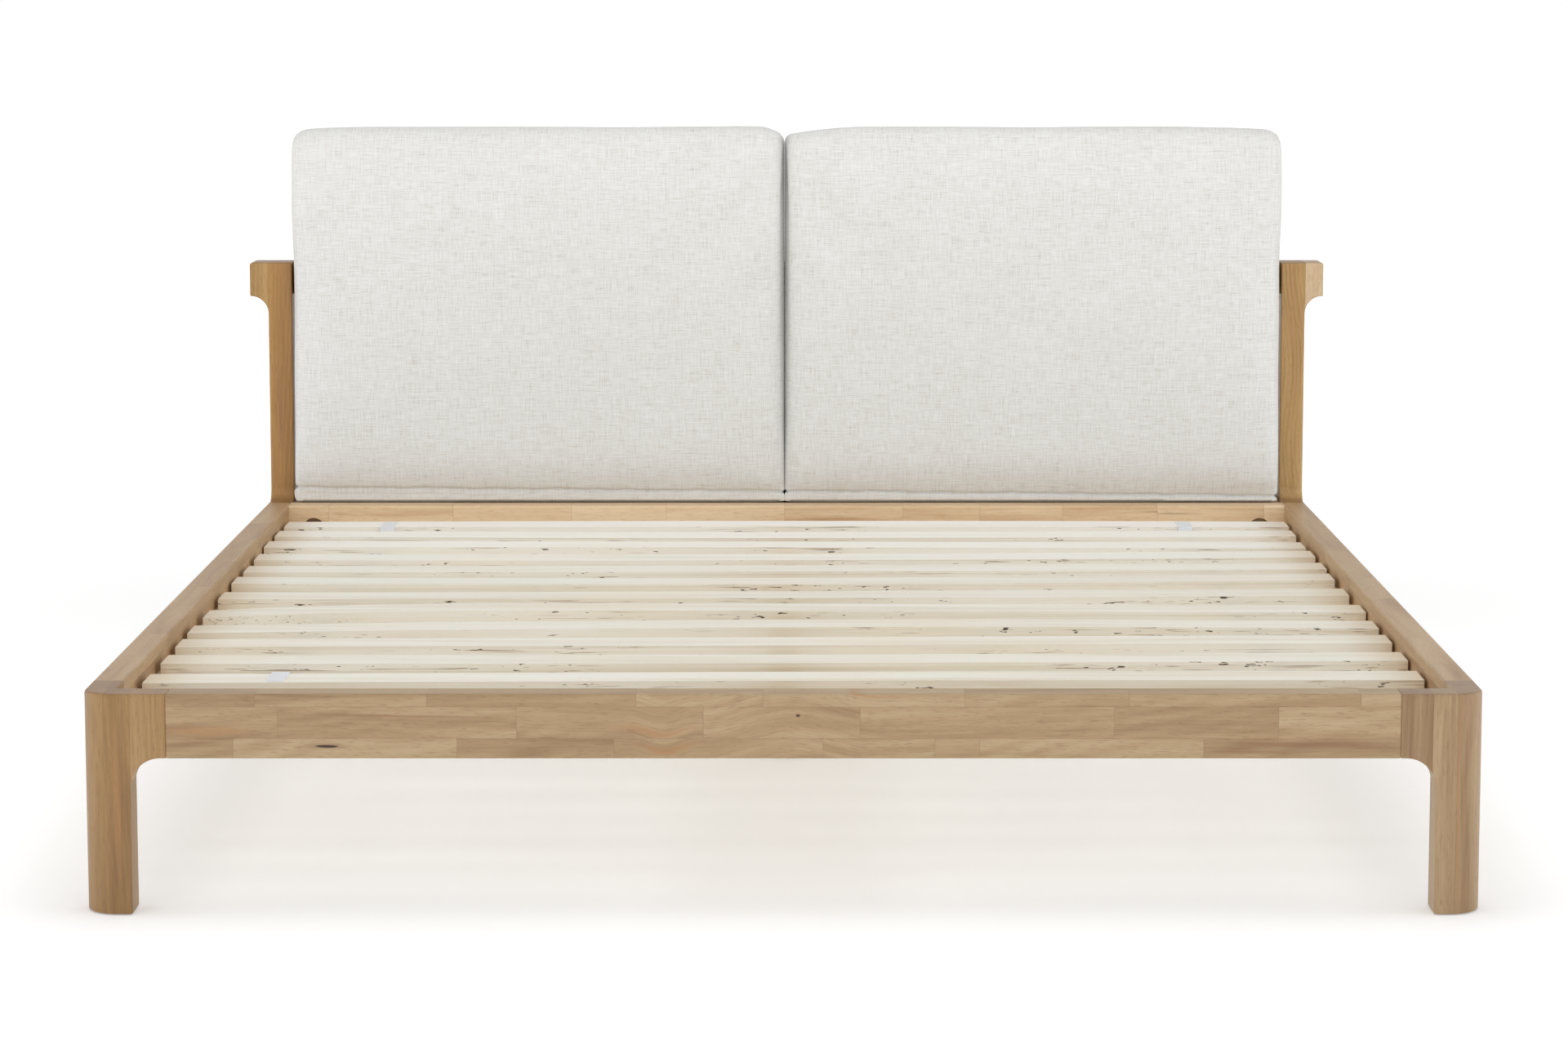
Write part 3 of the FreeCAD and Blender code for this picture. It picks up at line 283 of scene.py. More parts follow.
def wood(name, grain, rows, palette=HONEY, seed=1, lamination=None, arches=(), knots=(), streaks=(),
         scratches=0.0, rings=0.5):
    """Glued-up hardwood with its grain along one axis.

    The rows lie across the lamination axis. An arch bends the grain: (along, height, half width).
    A knot is (along, across, half length, half width). A streak is (along, across, half length,
    half width, colour), softer than a knot.
    """
    graph = Graph(name)
    at = graph.position()
    facing = graph.facing()
    side_axes = [axis for axis in AXES if axis != grain]
    if lamination is None:
        lamination = side_axes[-1]
    depth_axis = [axis for axis in side_axes if axis != lamination][0]
    along, across, depth = at[grain], at[lamination], at[depth_axis]
    starts = [block[0] for row in rows for block in row[2]]
    span = (min(starts), max(starts) + 1.0)
    tone, number, joint = block_pattern(graph, along, across, rows, span, seed)

    bent = across
    for middle, height, half_width in arches:
        distance = graph.math("ABSOLUTE", graph.subtract(along, middle))
        bent = graph.subtract(bent, graph.times(graph.fade(distance, 0.0, half_width), height))
    for knot in knots:
        distance = ellipse(graph, along, across, (knot[0], knot[1], knot[2] * 4, knot[3] * 5))
        push = graph.times(graph.fade(distance, 0.0, 1.0), graph.subtract(across, knot[1]))
        bent = graph.subtract(bent, graph.times(push, 0.7))

    shift = graph.times(number, 23.0)
    wander = graph.noise(graph.vector(graph.add(graph.times(along, 2.2), shift), shift, 0.0), detail=1.0)
    bent = graph.add(bent, graph.swing(wander, 0.02))
    depth = graph.add(depth, graph.swing(wander, 0.03))

    def stretched(lengthwise, crosswise):
        return graph.vector(
            graph.add(graph.times(along, lengthwise), shift),
            graph.add(graph.times(bent, crosswise), shift),
            graph.times(depth, crosswise),
        )

    broad = graph.noise(stretched(1.6, 24.0), detail=3.0, roughness=0.55, distortion=0.7)
    fibre = graph.noise(stretched(7.0, 260.0), detail=2.0, roughness=0.6)
    pores = graph.noise(stretched(52.0, 640.0), detail=1.0)
    cloud = graph.noise(stretched(3.5, 9.0), detail=2.0)
    radius_across = graph.add(bent, graph.swing(number, 0.3))
    radius_depth = graph.add(depth, graph.times(along, 0.05))
    radius = graph.hypotenuse(radius_across, radius_depth)
    ring = graph.wave(radius, 2 * math.pi * RINGS_PER_METRE)
    ring_shade = graph.times(graph.math("MULTIPLY_ADD", ring, 0.5, 0.5), graph.smooth(cloud, 0.35, 0.7))

    factor = graph.sum(broad, graph.swing(tone, 0.85), graph.swing(fibre, 0.4), graph.swing(cloud, 0.25))
    factor = graph.subtract(factor, graph.times(ring_shade, 0.20 * rings))
    dark, middle, light = palette
    colour = graph.ramp(factor, [(0.04, dark), (0.5, middle), (0.96, light)])
    pore_mask = graph.smooth(pores, 0.58, 0.70)
    colour = graph.mix(graph.times(pore_mask, 0.42), colour, dark)
    for streak in streaks:
        distance = ellipse(graph, along, bent, streak[:4])
        ragged = graph.add(distance, graph.swing(broad, 1.6))
        colour = graph.mix(graph.times(graph.fade(ragged, 0.2, 1.0), 0.5), colour, streak[4])
    for knot in knots:
        distance = ellipse(graph, along, across, knot)
        ragged = graph.add(distance, graph.swing(fibre, 1.3))
        colour = graph.mix(graph.times(graph.fade(distance, 0.7, 2.6), 0.4), colour, dark)
        colour = graph.mix(graph.fade(ragged, 0.55, 1.0), colour, KNOT_BROWN)
    colour = graph.mix(graph.times(joint, 0.20), colour, JOINT_BROWN)
    end_face = graph.smooth(facing[grain], 0.7, 0.95)
    colour = graph.mix(graph.times(end_face, 0.45), colour, END_GRAIN_BROWN)
    roughness = graph.math("MULTIPLY_ADD", fibre, 0.16, 0.40)
    if scratches:
        marks = graph.noise(graph.scaled(at, 34.0, 30.0, 34.0), detail=4.0, distortion=2.4)
        line = graph.fade(graph.math("ABSOLUTE", graph.subtract(marks, 0.52)), 0.0, 0.006)
        patches = graph.noise(graph.vector(at["x"], graph.times(at["y"], 2.3), 0.0))
        patch = graph.smooth(patches, 0.52, 0.62)
        scratch = graph.times(graph.times(line, patch), scratches)
        colour = graph.mix(scratch, colour, SCRATCH_PALE)
        roughness = graph.add(roughness, graph.times(scratch, 0.3))
    height = graph.subtract(graph.times(fibre, 0.5), graph.times(pore_mask, 0.8))
    height = graph.subtract(height, joint)
    normal = graph.bump(height, 0.00025, 0.55)
    return graph.finish(colour, roughness, normal, Coat_Weight=0.12, Coat_Roughness=0.3)


# The front rail's blocks, each with where it starts and how light it is.
FRONT_TOP_ROW = [(-1.0, 0.38), (-0.795, 0.60), (-0.541, 0.46), (-0.225, 0.60), (-0.041, 0.66),
                 (0.260, 0.42), (0.512, 0.54), (0.854, 0.64)]
FRONT_MIDDLE_ROW = [(-1.0, 0.42), (-0.763, 0.50), (-0.406, 0.46), (-0.130, 0.62), (0.112, 0.56),
                    (0.485, 0.44), (0.730, 0.60)]
FRONT_BOTTOM_ROW = [(-1.0, 0.50), (-0.826, 0.60), (-0.493, 0.42), (-0.256, 0.50), (0.057, 0.62),
                    (0.216, 0.56), (0.291, 0.63), (0.627, 0.36)]
ROW_LOW = 0.2698
ROW_HIGH = 0.3178
RAIL_LOW = 0.239
RAIL_HIGH = 0.337
STREAK_ORANGE = linear(172, 124, 78)
STREAK_BROWN = linear(136, 96, 66)


def front_rail_wood():
    rows = [
        (RAIL_LOW, ROW_LOW, FRONT_BOTTOM_ROW),
        (ROW_LOW, ROW_HIGH, FRONT_MIDDLE_ROW),
        (ROW_HIGH, RAIL_HIGH, FRONT_TOP_ROW),
    ]
    knots = [(-0.682, 0.258, 0.020, 0.0028), (0.022, 0.3045, 0.003, 0.002)]
    streaks = [
        (0.80, 0.258, 0.16, 0.005, STREAK_BROWN),
        (0.70, 0.246, 0.10, 0.004, STREAK_BROWN),
        (0.12, 0.333, 0.13, 0.0035, STREAK_ORANGE),
        (-0.19, 0.290, 0.10, 0.010, STREAK_ORANGE),
        (-0.17, 0.262, 0.05, 0.008, STREAK_ORANGE),
        (-0.86, 0.282, 0.09, 0.010, STREAK_ORANGE),
        (-0.55, 0.306, 0.16, 0.003, STREAK_BROWN),
    ]
    arches = [(0.008, 0.026, 0.13), (-0.178, -0.012, 0.05)]
    return wood("front_rail_wood", "x", rows, HONEY, 3, "z", arches, knots, streaks, rings=1.0)


def side_rail_wood(side, seed):
    rows = [
        random_row(seed, RAIL_LOW, ROW_LOW, -1.2, 1.1, 0.34, 0.1),
        random_row(seed + 1, ROW_LOW, ROW_HIGH, -1.2, 1.1, 0.40, 0.1),
        random_row(seed + 2, ROW_HIGH, RAIL_HIGH, -1.2, 1.1, 0.30, 0.1),
    ]
    return wood(f"side_rail_wood_{side}", "y", rows, RAIL_HONEY, seed, "z", scratches=0.6)


def head_rail_wood():
    rows = [
        random_row(51, 0.2, 0.288, -1.1, 1.1, 0.30, 0.07),
        random_row(52, 0.288, 0.36, -1.1, 1.1, 0.26, 0.07),
    ]
    streaks = [(0.78, 0.322, 0.09, 0.004, STREAK_BROWN), (0.10, 0.31, 0.10, 0.006, STREAK_ORANGE)]
    return wood("head_rail_wood", "x", rows, PALE_HONEY, 5, "z", streaks=streaks)


def upright_rows(edges, tones):
    """Laminations that stand side by side, each of one block from the floor up."""
    return [(low, high, [(-0.1, tone)]) for low, high, tone in zip(edges, edges[1:], tones)]


def leg_wood(side, tones, edges, streaks):
    palette, seed = (ORANGE_HONEY, 7) if side == "left" else (HONEY, 8)
    rows = upright_rows(edges, tones)
    return wood(f"leg_wood_{side}", "z", rows, palette, seed, "x", streaks=streaks)


def post_wood(side, tones, palette, streaks=(), arches=()):
    """A post or ear, laminated at 1.05 m from the middle. The tones go from the outside in."""
    sign = -1 if "left" in side else 1
    edges = sorted((sign * 1.10, sign * 1.05, sign * 0.95))
    rows = upright_rows(edges, tones if sign < 0 else tones[::-1])
    seed = {"left": 9, "right": 10, "ear_left": 11, "ear_right": 12}[side]
    return wood(f"post_wood_{side}", "z", rows, palette, seed, "x", arches, (), streaks, rings=0.8)


def plain_board(name, grain, seed, palette=PALE_HONEY):
    """A board of one lamination, wherever it lies."""
    rows = [random_row(seed, -2.0, 2.0, -1.3, 1.3, 0.4, 0.1)]
    return wood(name, grain, rows, palette, seed)


def slat_wood():
    """Pale poplar with small dark knots and streaks and darker lines along its faces. Painted shade darkens
    its ends beside the side rails and its front faces.

    Painted light makes the slats near the head the palest.
    """
    graph = Graph("slat_wood")
    at = graph.position()
    facing = graph.facing()
    wander = graph.noise(graph.vector(graph.times(at["x"], 1.7), graph.times(at["y"], 9.0), 0.0), detail=2.0)
    y = graph.add(at["y"], graph.swing(wander, 0.03))

    def stretched(lengthwise, crosswise, offset=0.0):
        return graph.vector(
            graph.add(graph.times(at["x"], lengthwise), offset),
            graph.times(y, crosswise),
            graph.times(at["z"], crosswise),
        )

    broad = graph.noise(stretched(1.2, 26.0), detail=3.0, roughness=0.5, distortion=0.4)
    fibre = graph.noise(stretched(5.0, 300.0), detail=3.0, roughness=0.6)
    factor = graph.add(broad, graph.swing(fibre, 0.45))
    colour = graph.ramp(factor, [
        (0.22, linear(222, 212, 190)),
        (0.5, linear(238, 233, 219)),
        (0.78, linear(246, 243, 234)),
    ])
    warm = graph.smooth(graph.noise(stretched(2.6, 3.0, 9.0), detail=1.0), 0.5, 0.75)
    colour = graph.mix(graph.times(warm, 0.35), colour, linear(242, 226, 200))

    # Painted light: the slats are made paler towards the head end.
    head_end_painted_light = graph.smooth(at["y"], -0.2, 1.0)
    colour = graph.mix(graph.times(head_end_painted_light, 0.75), colour, linear(254, 252, 247))

    # Painted shade: the slats are darkened to a warm brown towards their ends, beside the side rails.
    ends = graph.smooth(graph.math("ABSOLUTE", at["x"]), 0.90, 1.0)
    colour = graph.mix(graph.times(ends, 0.42), colour, linear(214, 186, 142))

    on_front = graph.smooth(facing["y"], 0.6, 0.9)
    layer = graph.noise(graph.scaled(at, 0.6, 5.0, 330.0))
    layer_line = graph.smooth(layer, 0.5, 0.72)
    colour = graph.mix(graph.times(graph.times(on_front, layer_line), 0.5), colour, linear(196, 184, 158))
    # Painted shade: the front faces of the slats are darkened all over.
    colour = graph.mix(graph.times(on_front, 0.38), colour, linear(202, 190, 166))

    flecks = graph.noise(stretched(34.0, 200.0, 4.0), detail=2.0, roughness=0.6)
    presence = graph.smooth(graph.noise(stretched(2.6, 21.0, 31.0), detail=1.0), 0.44, 0.56)
    shown = graph.math("MULTIPLY_ADD", on_front, 0.9, 0.1)
    fleck = graph.times(graph.times(graph.smooth(flecks, 0.655, 0.685), presence), shown)
    colour = graph.mix(graph.times(fleck, 0.95), colour, linear(70, 44, 28))
    streaks = graph.noise(stretched(5.5, 420.0, 14.0), detail=1.0)
    streak = graph.times(graph.times(graph.smooth(streaks, 0.62, 0.70), presence), shown)
    colour = graph.mix(graph.times(streak, 0.7), colour, linear(134, 108, 78))
    end_face = graph.smooth(facing["x"], 0.7, 0.95)
    colour = graph.mix(graph.times(end_face, 0.5), colour, linear(196, 172, 132))

    roughness = graph.math("MULTIPLY_ADD", fibre, 0.2, 0.56)
    height = graph.subtract(fibre, graph.times(fleck, 0.8))
    return graph.finish(colour, roughness, graph.bump(height, 0.0003, 0.5))


def plywood():
    """Birch plywood: veneers seen edge on at the sides, one sheet of veneer on the faces."""
    graph = Graph("plywood")
    at = graph.position()
    facing = graph.facing()
    face_grain = graph.noise(graph.scaled(at, 22.0, 60.0, 1.6), detail=4.0, distortion=0.8)
    face = graph.ramp(face_grain, [(0.25, linear(196, 164, 118)), (0.75, linear(226, 200, 158))])
    layers = graph.wave(at["y"], 3300.0)
    edge = graph.mix(graph.smooth(layers, -0.4, 0.4), linear(150, 112, 72), linear(214, 186, 142))
    on_face = graph.smooth(facing["y"], 0.6, 0.9)
    colour = graph.mix(on_face, edge, face)
    return graph.finish(colour, 0.62, graph.bump(face_grain, 0.0003, 0.5))


def dowel_wood():
    graph = Graph("dowel_wood")
    grain = graph.noise(graph.scaled(graph.position(), 90.0, 90.0, 90.0), detail=4.0)
    colour = graph.ramp(grain, [(0.3, linear(198, 160, 116)), (0.7, linear(226, 196, 154))])
    return graph.finish(colour, 0.6, graph.bump(grain, 0.0004, 0.6))


# ---- cloth, felt, metal and plastic


# The phase of the yarns in radians for each metre: one yarn every 1.2 mm.
YARN_PITCH = 5200.0


def woven_coordinates(graph):
    """Two directions that lie in the surface whichever way it faces."""
    at = graph.position()
    facing = graph.facing()
    on_side = graph.above(facing["x"], graph.math("MAXIMUM", facing["y"], facing["z"]))
    on_top = graph.above(facing["z"], graph.math("MAXIMUM", facing["x"], facing["y"]))
    u = graph.math("MULTIPLY_ADD", on_side, graph.subtract(at["y"], at["x"]), at["x"])
    v = graph.math("MULTIPLY_ADD", on_top, graph.subtract(at["y"], at["z"]), at["z"])
    return u, v


def linen():
    """Linen blend: a plain weave of uneven yarns in off-white and grey-beige, with slubs both ways."""
    graph = Graph("linen")
    u, v = woven_coordinates(graph)

    def yarns(lengthwise, crosswise, swap, offset=0.0):
        a, b = (v, u) if swap else (u, v)
        vector = graph.vector(
            graph.add(graph.times(a, lengthwise), offset),
            graph.add(graph.times(b, crosswise), offset),
            0.0,
        )
        return graph.noise(vector, detail=2.0, roughness=0.6)

    slub_across = yarns(34.0, 620.0, False)
    slub_up = yarns(34.0, 620.0, True, 5.0)
    long_across = yarns(9.0, 330.0, False, 11.0)
    long_up = yarns(9.0, 330.0, True, 17.0)
    warp = graph.math("SINE", graph.add(graph.times(u, YARN_PITCH), graph.times(slub_up, 5.0)))
    weft = graph.math("SINE", graph.add(graph.times(v, YARN_PITCH), graph.times(slub_across, 5.0)))
    weave = graph.times(warp, weft)

    cloud = graph.noise(graph.vector(graph.times(u, 7.0), graph.times(v, 7.0), 0.0), detail=3.0)
    slubs = graph.sum(graph.swing(slub_across, 0.95), graph.swing(slub_up, 0.85))
    bands = graph.sum(graph.swing(long_across, 0.45), graph.swing(long_up, 0.35))
    tone = graph.sum(slubs, bands, graph.times(weave, 0.10), graph.swing(cloud, 0.12), 0.5)
    colour = graph.ramp(tone, [
        (0.10, linear(191, 187, 179)),
        (0.40, linear(217, 216, 212)),
        (0.60, linear(225, 225, 223)),
        (0.90, linear(233, 234, 233)),
    ])
    fleck = graph.times(graph.smooth(yarns(120.0, 900.0, False, 23.0), 0.66, 0.74), 0.22)
    colour = graph.mix(fleck, colour, linear(168, 148, 122))
    height = graph.add(graph.times(weave, 0.35), graph.add(slub_across, slub_up))
    normal = graph.bump(height, 0.0004, 0.4)
    return graph.finish(colour, 0.92, normal, Sheen_Weight=0.25, Sheen_Roughness=0.45,
                        Specular_IOR_Level=0.25)


def lining_cloth():
    """Thin spun-bonded grey dust cloth with an embossed dot pattern."""
    graph = Graph("lining_cloth")
    at = graph.position()
    dots = graph.times(graph.wave(at["x"], 2400.0), graph.wave(at["z"], 2400.0))
    fibres = graph.noise(graph.scaled(at, 260.0, 260.0, 260.0), detail=4.0, roughness=0.7)
    colour = graph.ramp(fibres, [(0.3, linear(112, 110, 108)), (0.7, linear(146, 144, 141))])
    colour = graph.mix(graph.times(graph.smooth(dots, 0.3, 0.8), 0.35), colour, linear(92, 90, 88))
    normal = graph.bump(graph.add(fibres, dots), 0.0003, 0.5)
    return graph.finish(colour, 0.9, normal, Sheen_Weight=0.15)


def webbing(name, dark, light):
    """Flat strap woven in zigzag ribs."""
    graph = Graph(name)
    at = graph.position()
    length = graph.add(at["y"], at["z"])
    zigzag = graph.math("PINGPONG", at["x"], 0.003)
    twill = graph.math("SINE", graph.times(graph.add(length, zigzag), 3600.0))
    ribs = graph.wave(at["x"], 4200.0)
    yarn = graph.noise(graph.vector(graph.times(at["x"], 900.0), graph.times(length, 180.0), 0.0))
    pattern = graph.add(graph.times(twill, 0.5), graph.times(ribs, 0.3))
    factor = graph.add(graph.times(pattern, 0.35), yarn)
    colour = graph.ramp(factor, [(0.2, dark), (0.8, light)])
    return graph.finish(colour, 0.72, graph.bump(pattern, 0.0004, 0.7), Sheen_Weight=0.1)


def felt():
    graph = Graph("felt")
    vector = graph.scaled(graph.position(), 700.0, 700.0, 700.0)
    fibres = graph.noise(vector, detail=5.0, roughness=0.75, distortion=1.5)
    colour = graph.ramp(fibres, [(0.3, linear(96, 82, 66)), (0.7, linear(150, 134, 112))])
    return graph.finish(colour, 0.95, graph.bump(fibres, 0.0008, 0.9), Sheen_Weight=0.3)


def zinc(name, dark, light, stretch):
    """Zinc-plated steel with faint rolling lines and cloudy plating, duller in places."""
    graph = Graph(name)
    at = graph.position()
    lines = graph.noise(graph.scaled(at, 60.0, 60.0, stretch), detail=3.0)
    cloud = graph.noise(graph.scaled(at, 25.0, 25.0, 25.0), detail=3.0)
    factor = graph.add(graph.times(lines, 0.5), graph.times(cloud, 0.5))
    colour = graph.ramp(factor, [(0.3, dark), (0.7, light)])
    roughness = graph.math("MULTIPLY_ADD", cloud, 0.3, 0.22)
    return graph.finish(colour, roughness, graph.bump(lines, 0.0001, 0.4), Metallic=1.0)


def moulded_plastic():
    graph = Graph("black_plastic")
    at = graph.position()
    grain = graph.noise(graph.scaled(at, 900.0, 900.0, 900.0), detail=3.0)
    wear = graph.smooth(graph.noise(graph.scaled(at, 60.0, 60.0, 0.0), detail=3.0), 0.55, 0.75)
    colour = graph.mix(graph.times(wear, 0.3), linear(34, 34, 35), linear(70, 69, 68))
    roughness = graph.math("MULTIPLY_ADD", wear, 0.2, 0.45)
    return graph.finish(colour, roughness, graph.bump(grain, 0.0002, 0.5))


def studio_floor():
    """Seamless white paper with a very faint texture, which glows, and glows more away from the bed's
    footprint: the weaker glow under the bed is a painted shadow.
    """
    graph = Graph("studio_floor")
    at = graph.position()
    fibres = graph.noise(graph.scaled(at, 40.0, 40.0, 0.0), detail=4.0)
    colour = graph.ramp(fibres, [(0.3, linear(238, 238, 238)), (0.7, linear(242, 242, 242))])
    outside = []
    for axis, half in zip(AXES, FOOTPRINT):
        beyond = graph.subtract(graph.math("ABSOLUTE", at[axis]), half)
        outside.append(graph.math("MAXIMUM", beyond, 0.0))
    distance = graph.hypotenuse(*outside)
    # Painted shadow: the glow is weakest under the bed and rises away from its footprint.
    near = graph.smooth(distance, 0.0, 0.45)
    glow = graph.math("MULTIPLY_ADD", near, NEAR_GLOW - UNDER_GLOW, UNDER_GLOW)
    glow = graph.add(glow, graph.times(graph.smooth(distance, 0.8, 4.0), FAR_GLOW - NEAR_GLOW))
    graph.put(graph.shader.inputs["Emission Strength"], glow)
    return graph.finish(colour, 0.9, Emission_Color=(1.0, 1.0, 1.0, 1.0))


# ---- finishes of the CAD pieces

HEADBOARD_BOARDS = {
    "headboard_top_rail": "x",
    "headboard_lower_rail": "x",
    "headboard_stile": "z",
    "cushion_ledge": "x",
}
SUPPORT_BOARDS = {
    "ledger_left": "y",
    "ledger_right": "y",
    "centre_beam": "y",
    "centre_leg": "z",
}
OWN_FINISH = {
    "dowel_wood": dowel_wood,
    "plywood": plywood,
    "slat_wood": slat_wood,
    "felt": felt,
    "black_plastic": moulded_plastic,
}
LIGHT_ZINC = (linear(150, 152, 156), linear(204, 206, 208))
YELLOW_ZINC = (linear(150, 134, 92), linear(206, 190, 140))


def dress(node, material):
    for slot in NODES[node].material_slots:
        slot.material = material


def dress_wood():
    dress("front_rail", front_rail_wood())
    dress("side_rail_left", side_rail_wood("left", 21))
    dress("side_rail_right", side_rail_wood("right", 31))
    dress("head_rail", head_rail_wood())
    edges = (-1.06, -1.0153, -0.975, -0.9)
    streaks = [(0.19, -0.997, 0.16, 0.008, STREAK_ORANGE)]
    dress("front_leg_left", leg_wood("left", (0.50, 0.34, 0.60), edges, streaks))
    edges = (0.9, 0.970, 1.0067, 1.06)
    streaks = [(0.17, 1.0105, 0.24, 0.003, STREAK_ORANGE)]
    dress("front_leg_right", leg_wood("right", (0.16, 0.46, 0.36), edges, streaks))
    streaks = [(0.52, -1.028, 0.14, 0.006, STREAK_BROWN)]
    dress("rear_post_left", post_wood("left", (0.5, 0.42), DEEP_HONEY, streaks))
    arches = [(0.62, 0.02, 0.2)]
    dress("rear_post_right", post_wood("right", (0.5, 0.56), WARM_HONEY, arches=arches))
    dress("post_ear_left", post_wood("ear_left", (0.5, 0.5), WARM_HONEY))
    dress("post_ear_right", post_wood("ear_right", (0.95, 0.95), EAR_HONEY))
    for seed, (node, grain) in enumerate(HEADBOARD_BOARDS.items()):
        dress(node, plain_board(f"{node}_wood", grain, 60 + seed, HONEY))
    for seed, (node, grain) in enumerate(SUPPORT_BOARDS.items()):
        dress(node, plain_board(f"{node}_wood", grain, 70 + seed))


def dress_small_parts(materials):
    wooden = ("leg_wood", "post_wood", "rail_wood", "headboard_wood", "support_wood")
    for part in frame["record"]["subparts"]:
        slot = part["material_slot"]
        if slot not in wooden:
            dress(part["node"], materials[slot])


def small_part_materials():
    materials = {slot: make() for slot, make in OWN_FINISH.items()}
    materials["linen"] = linen()
    materials["lining_cloth"] = lining_cloth()
    materials["dark_webbing"] = webbing("dark_webbing", linear(34, 32, 30), linear(74, 70, 66))
    materials["white_webbing"] = webbing("white_webbing", linear(222, 225, 229), linear(247, 249, 252))
    materials["plate_steel"] = zinc("plate_steel", *LIGHT_ZINC, 700.0)
    materials["fastener_steel"] = zinc("fastener_steel", *YELLOW_ZINC, 60.0)
    materials["wire_steel"] = zinc("wire_steel", *LIGHT_ZINC, 60.0)
    return materials


# ---- mesh helpers


def new_piece(mesh):
    piece = bpy.data.objects.new(mesh.name, mesh)
    bpy.context.scene.collection.objects.link(piece)
    return piece


def built(bm, name):
    """A new piece from the faces that were drawn."""
    mesh = bpy.data.meshes.new(name)
    bm.to_mesh(mesh)
    bm.free()
    return new_piece(mesh)


def skin(bm, rings):
    """Joins closed rings of points into a tube with an end face at both ends."""
    count = len(rings[0])
    for ring, following in zip(rings, rings[1:]):
        for index in range(count):
            after = (index + 1) % count
            bm.faces.new((ring[index], ring[after], following[after], following[index]))
    bm.faces.new(rings[0][::-1])
    bm.faces.new(rings[-1])


# ---- cushions

VOXEL = 0.008
SWELL_FRAMES = 20
SWELL_CAP = 0.011
PRESSURE = 4.0
SEAM_DEPTH = 0.0052
SEAM_WIDTH = 0.0035
# The seam's height above the ledge at the left and right end of each cushion.
SEAM_ENDS = {"left": (0.0335, 0.0245), "right": (0.0255, 0.0150)}
# How wide and how deep the top edge falls towards the other cushion.
NOTCH = {"left": (0.054, 0.0195), "right": (0.17, 0.0175)}
SHOULDER_DEPTH = 0.0085
SHOULDER_WIDTH = 0.075
CORNER_WIDTH = 0.042
CORNER_DEPTH = 0.030
# The blank's section: how far each point lies inwards, and above the foot or below the top.
FOOT_AND_FRONT = [(0.029, 0.001), (0.024, 0.010), (0.024, 0.024), (0.016, 0.034), (0.010, 0.048),
                  (0.005, 0.078), (0.002, 0.130), (0.001, 0.220), (0.002, 0.400), (0.004, 0.560),
                  (0.009, 0.650)]
FRONT_CREST = [(0.017, 0.056), (0.030, 0.026), (0.048, 0.010), (0.068, 0.005)]
BACK_CREST = [(0.022, 0.007), (0.007, 0.018), (0.001, 0.036)]
BLANK_INSET = 0.002
BLANK_RADIUS = 0.028
BLANK_STEPS = 5
WALL_GAP = 0.0006
OUTLINE_STEP = 0.006
OUTER_EDGE = 0.9965
OUTER_BULGE = 0.0045
FOOT_HEIGHT = 0.0065
BAND_SETBACK = 0.022
CUSHION_GAP = 0.0004
PRESSED_FLAT = 0.003


class Cushion:
    """One headboard cushion, between the walls that its CAD solid gives."""

    def __init__(self, side):
        self.side = side
        self.sign = -1 if side == "left" else 1
        self.low, self.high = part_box(f"cushion_{side}")
        self.inner_x = self.high.x if side == "left" else self.low.x
        other_low, other_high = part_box("cushion_right" if side == "left" else "cushion_left")
        other_x = other_low.x if side == "left" else other_high.x
        self.contact_x = (self.inner_x + other_x + self.sign * CUSHION_GAP) / 2

    def seam_z(self, x):
        """The height of the bottom seam, which falls from left to right across both cushions."""
        share = (x - self.low.x) / (self.high.x - self.low.x)
        left_z, right_z = SEAM_ENDS[self.side]
        return self.low.z + left_z + (right_z - left_z) * share

    def top_z(self, x):
        """The height of the top edge: almost level, rounded down at both ends."""
        from_outer = np.maximum(OUTER_EDGE + OUTER_BULGE - self.sign * x, 0.0)
        from_inner = np.abs(x - self.inner_x)
        inner_width, inner_depth = NOTCH[self.side]
        level = self.high.z + 0.0010 * ripples(x, 3, (0.83, 0.41))
        shoulder = SHOULDER_DEPTH * np.exp(-from_outer / SHOULDER_WIDTH)
        notch = inner_depth * np.clip(1 - from_inner / inner_width, 0.0, 1.0) ** 2
        return level - shoulder - notch - corner_drop(from_outer)

    def outer_reach(self, z):
        """How far out the outer edge lies at a height. It bulges below the top corner."""
        upper = np.clip((z - self.high.z + 0.30) / 0.15, 0.0, 1.0)
        return OUTER_EDGE + OUTER_BULGE * upper * upper * (3 - 2 * upper)

    def inner_reach(self, z):
        """How far the inner edge lies towards the other cushion at a height."""
        return np.full_like(z, -self.sign * self.inner_x + PRESSED_FLAT)

    def profile(self):
        """The section from the back of the foot, round the front and over the top to the back."""
        y, z, back, top = self.low.y, self.low.z, self.high.y, self.high.z
        points = [(back - 0.001, z + 0.001)]
        points += [(y + inwards, z + up) for inwards, up in FOOT_AND_FRONT]
        points += [(y + inwards, top - down) for inwards, down in FRONT_CREST]
        points += [(back - inwards, top - down) for inwards, down in BACK_CREST]
        return points


def corner_drop(distance):
    """How far the rounded outer corner has fallen at a distance from its end."""
    share = np.clip(1 - distance / CORNER_WIDTH, 0.0, 1.0)
    return CORNER_DEPTH * (1 - np.sqrt(1 - share * share))


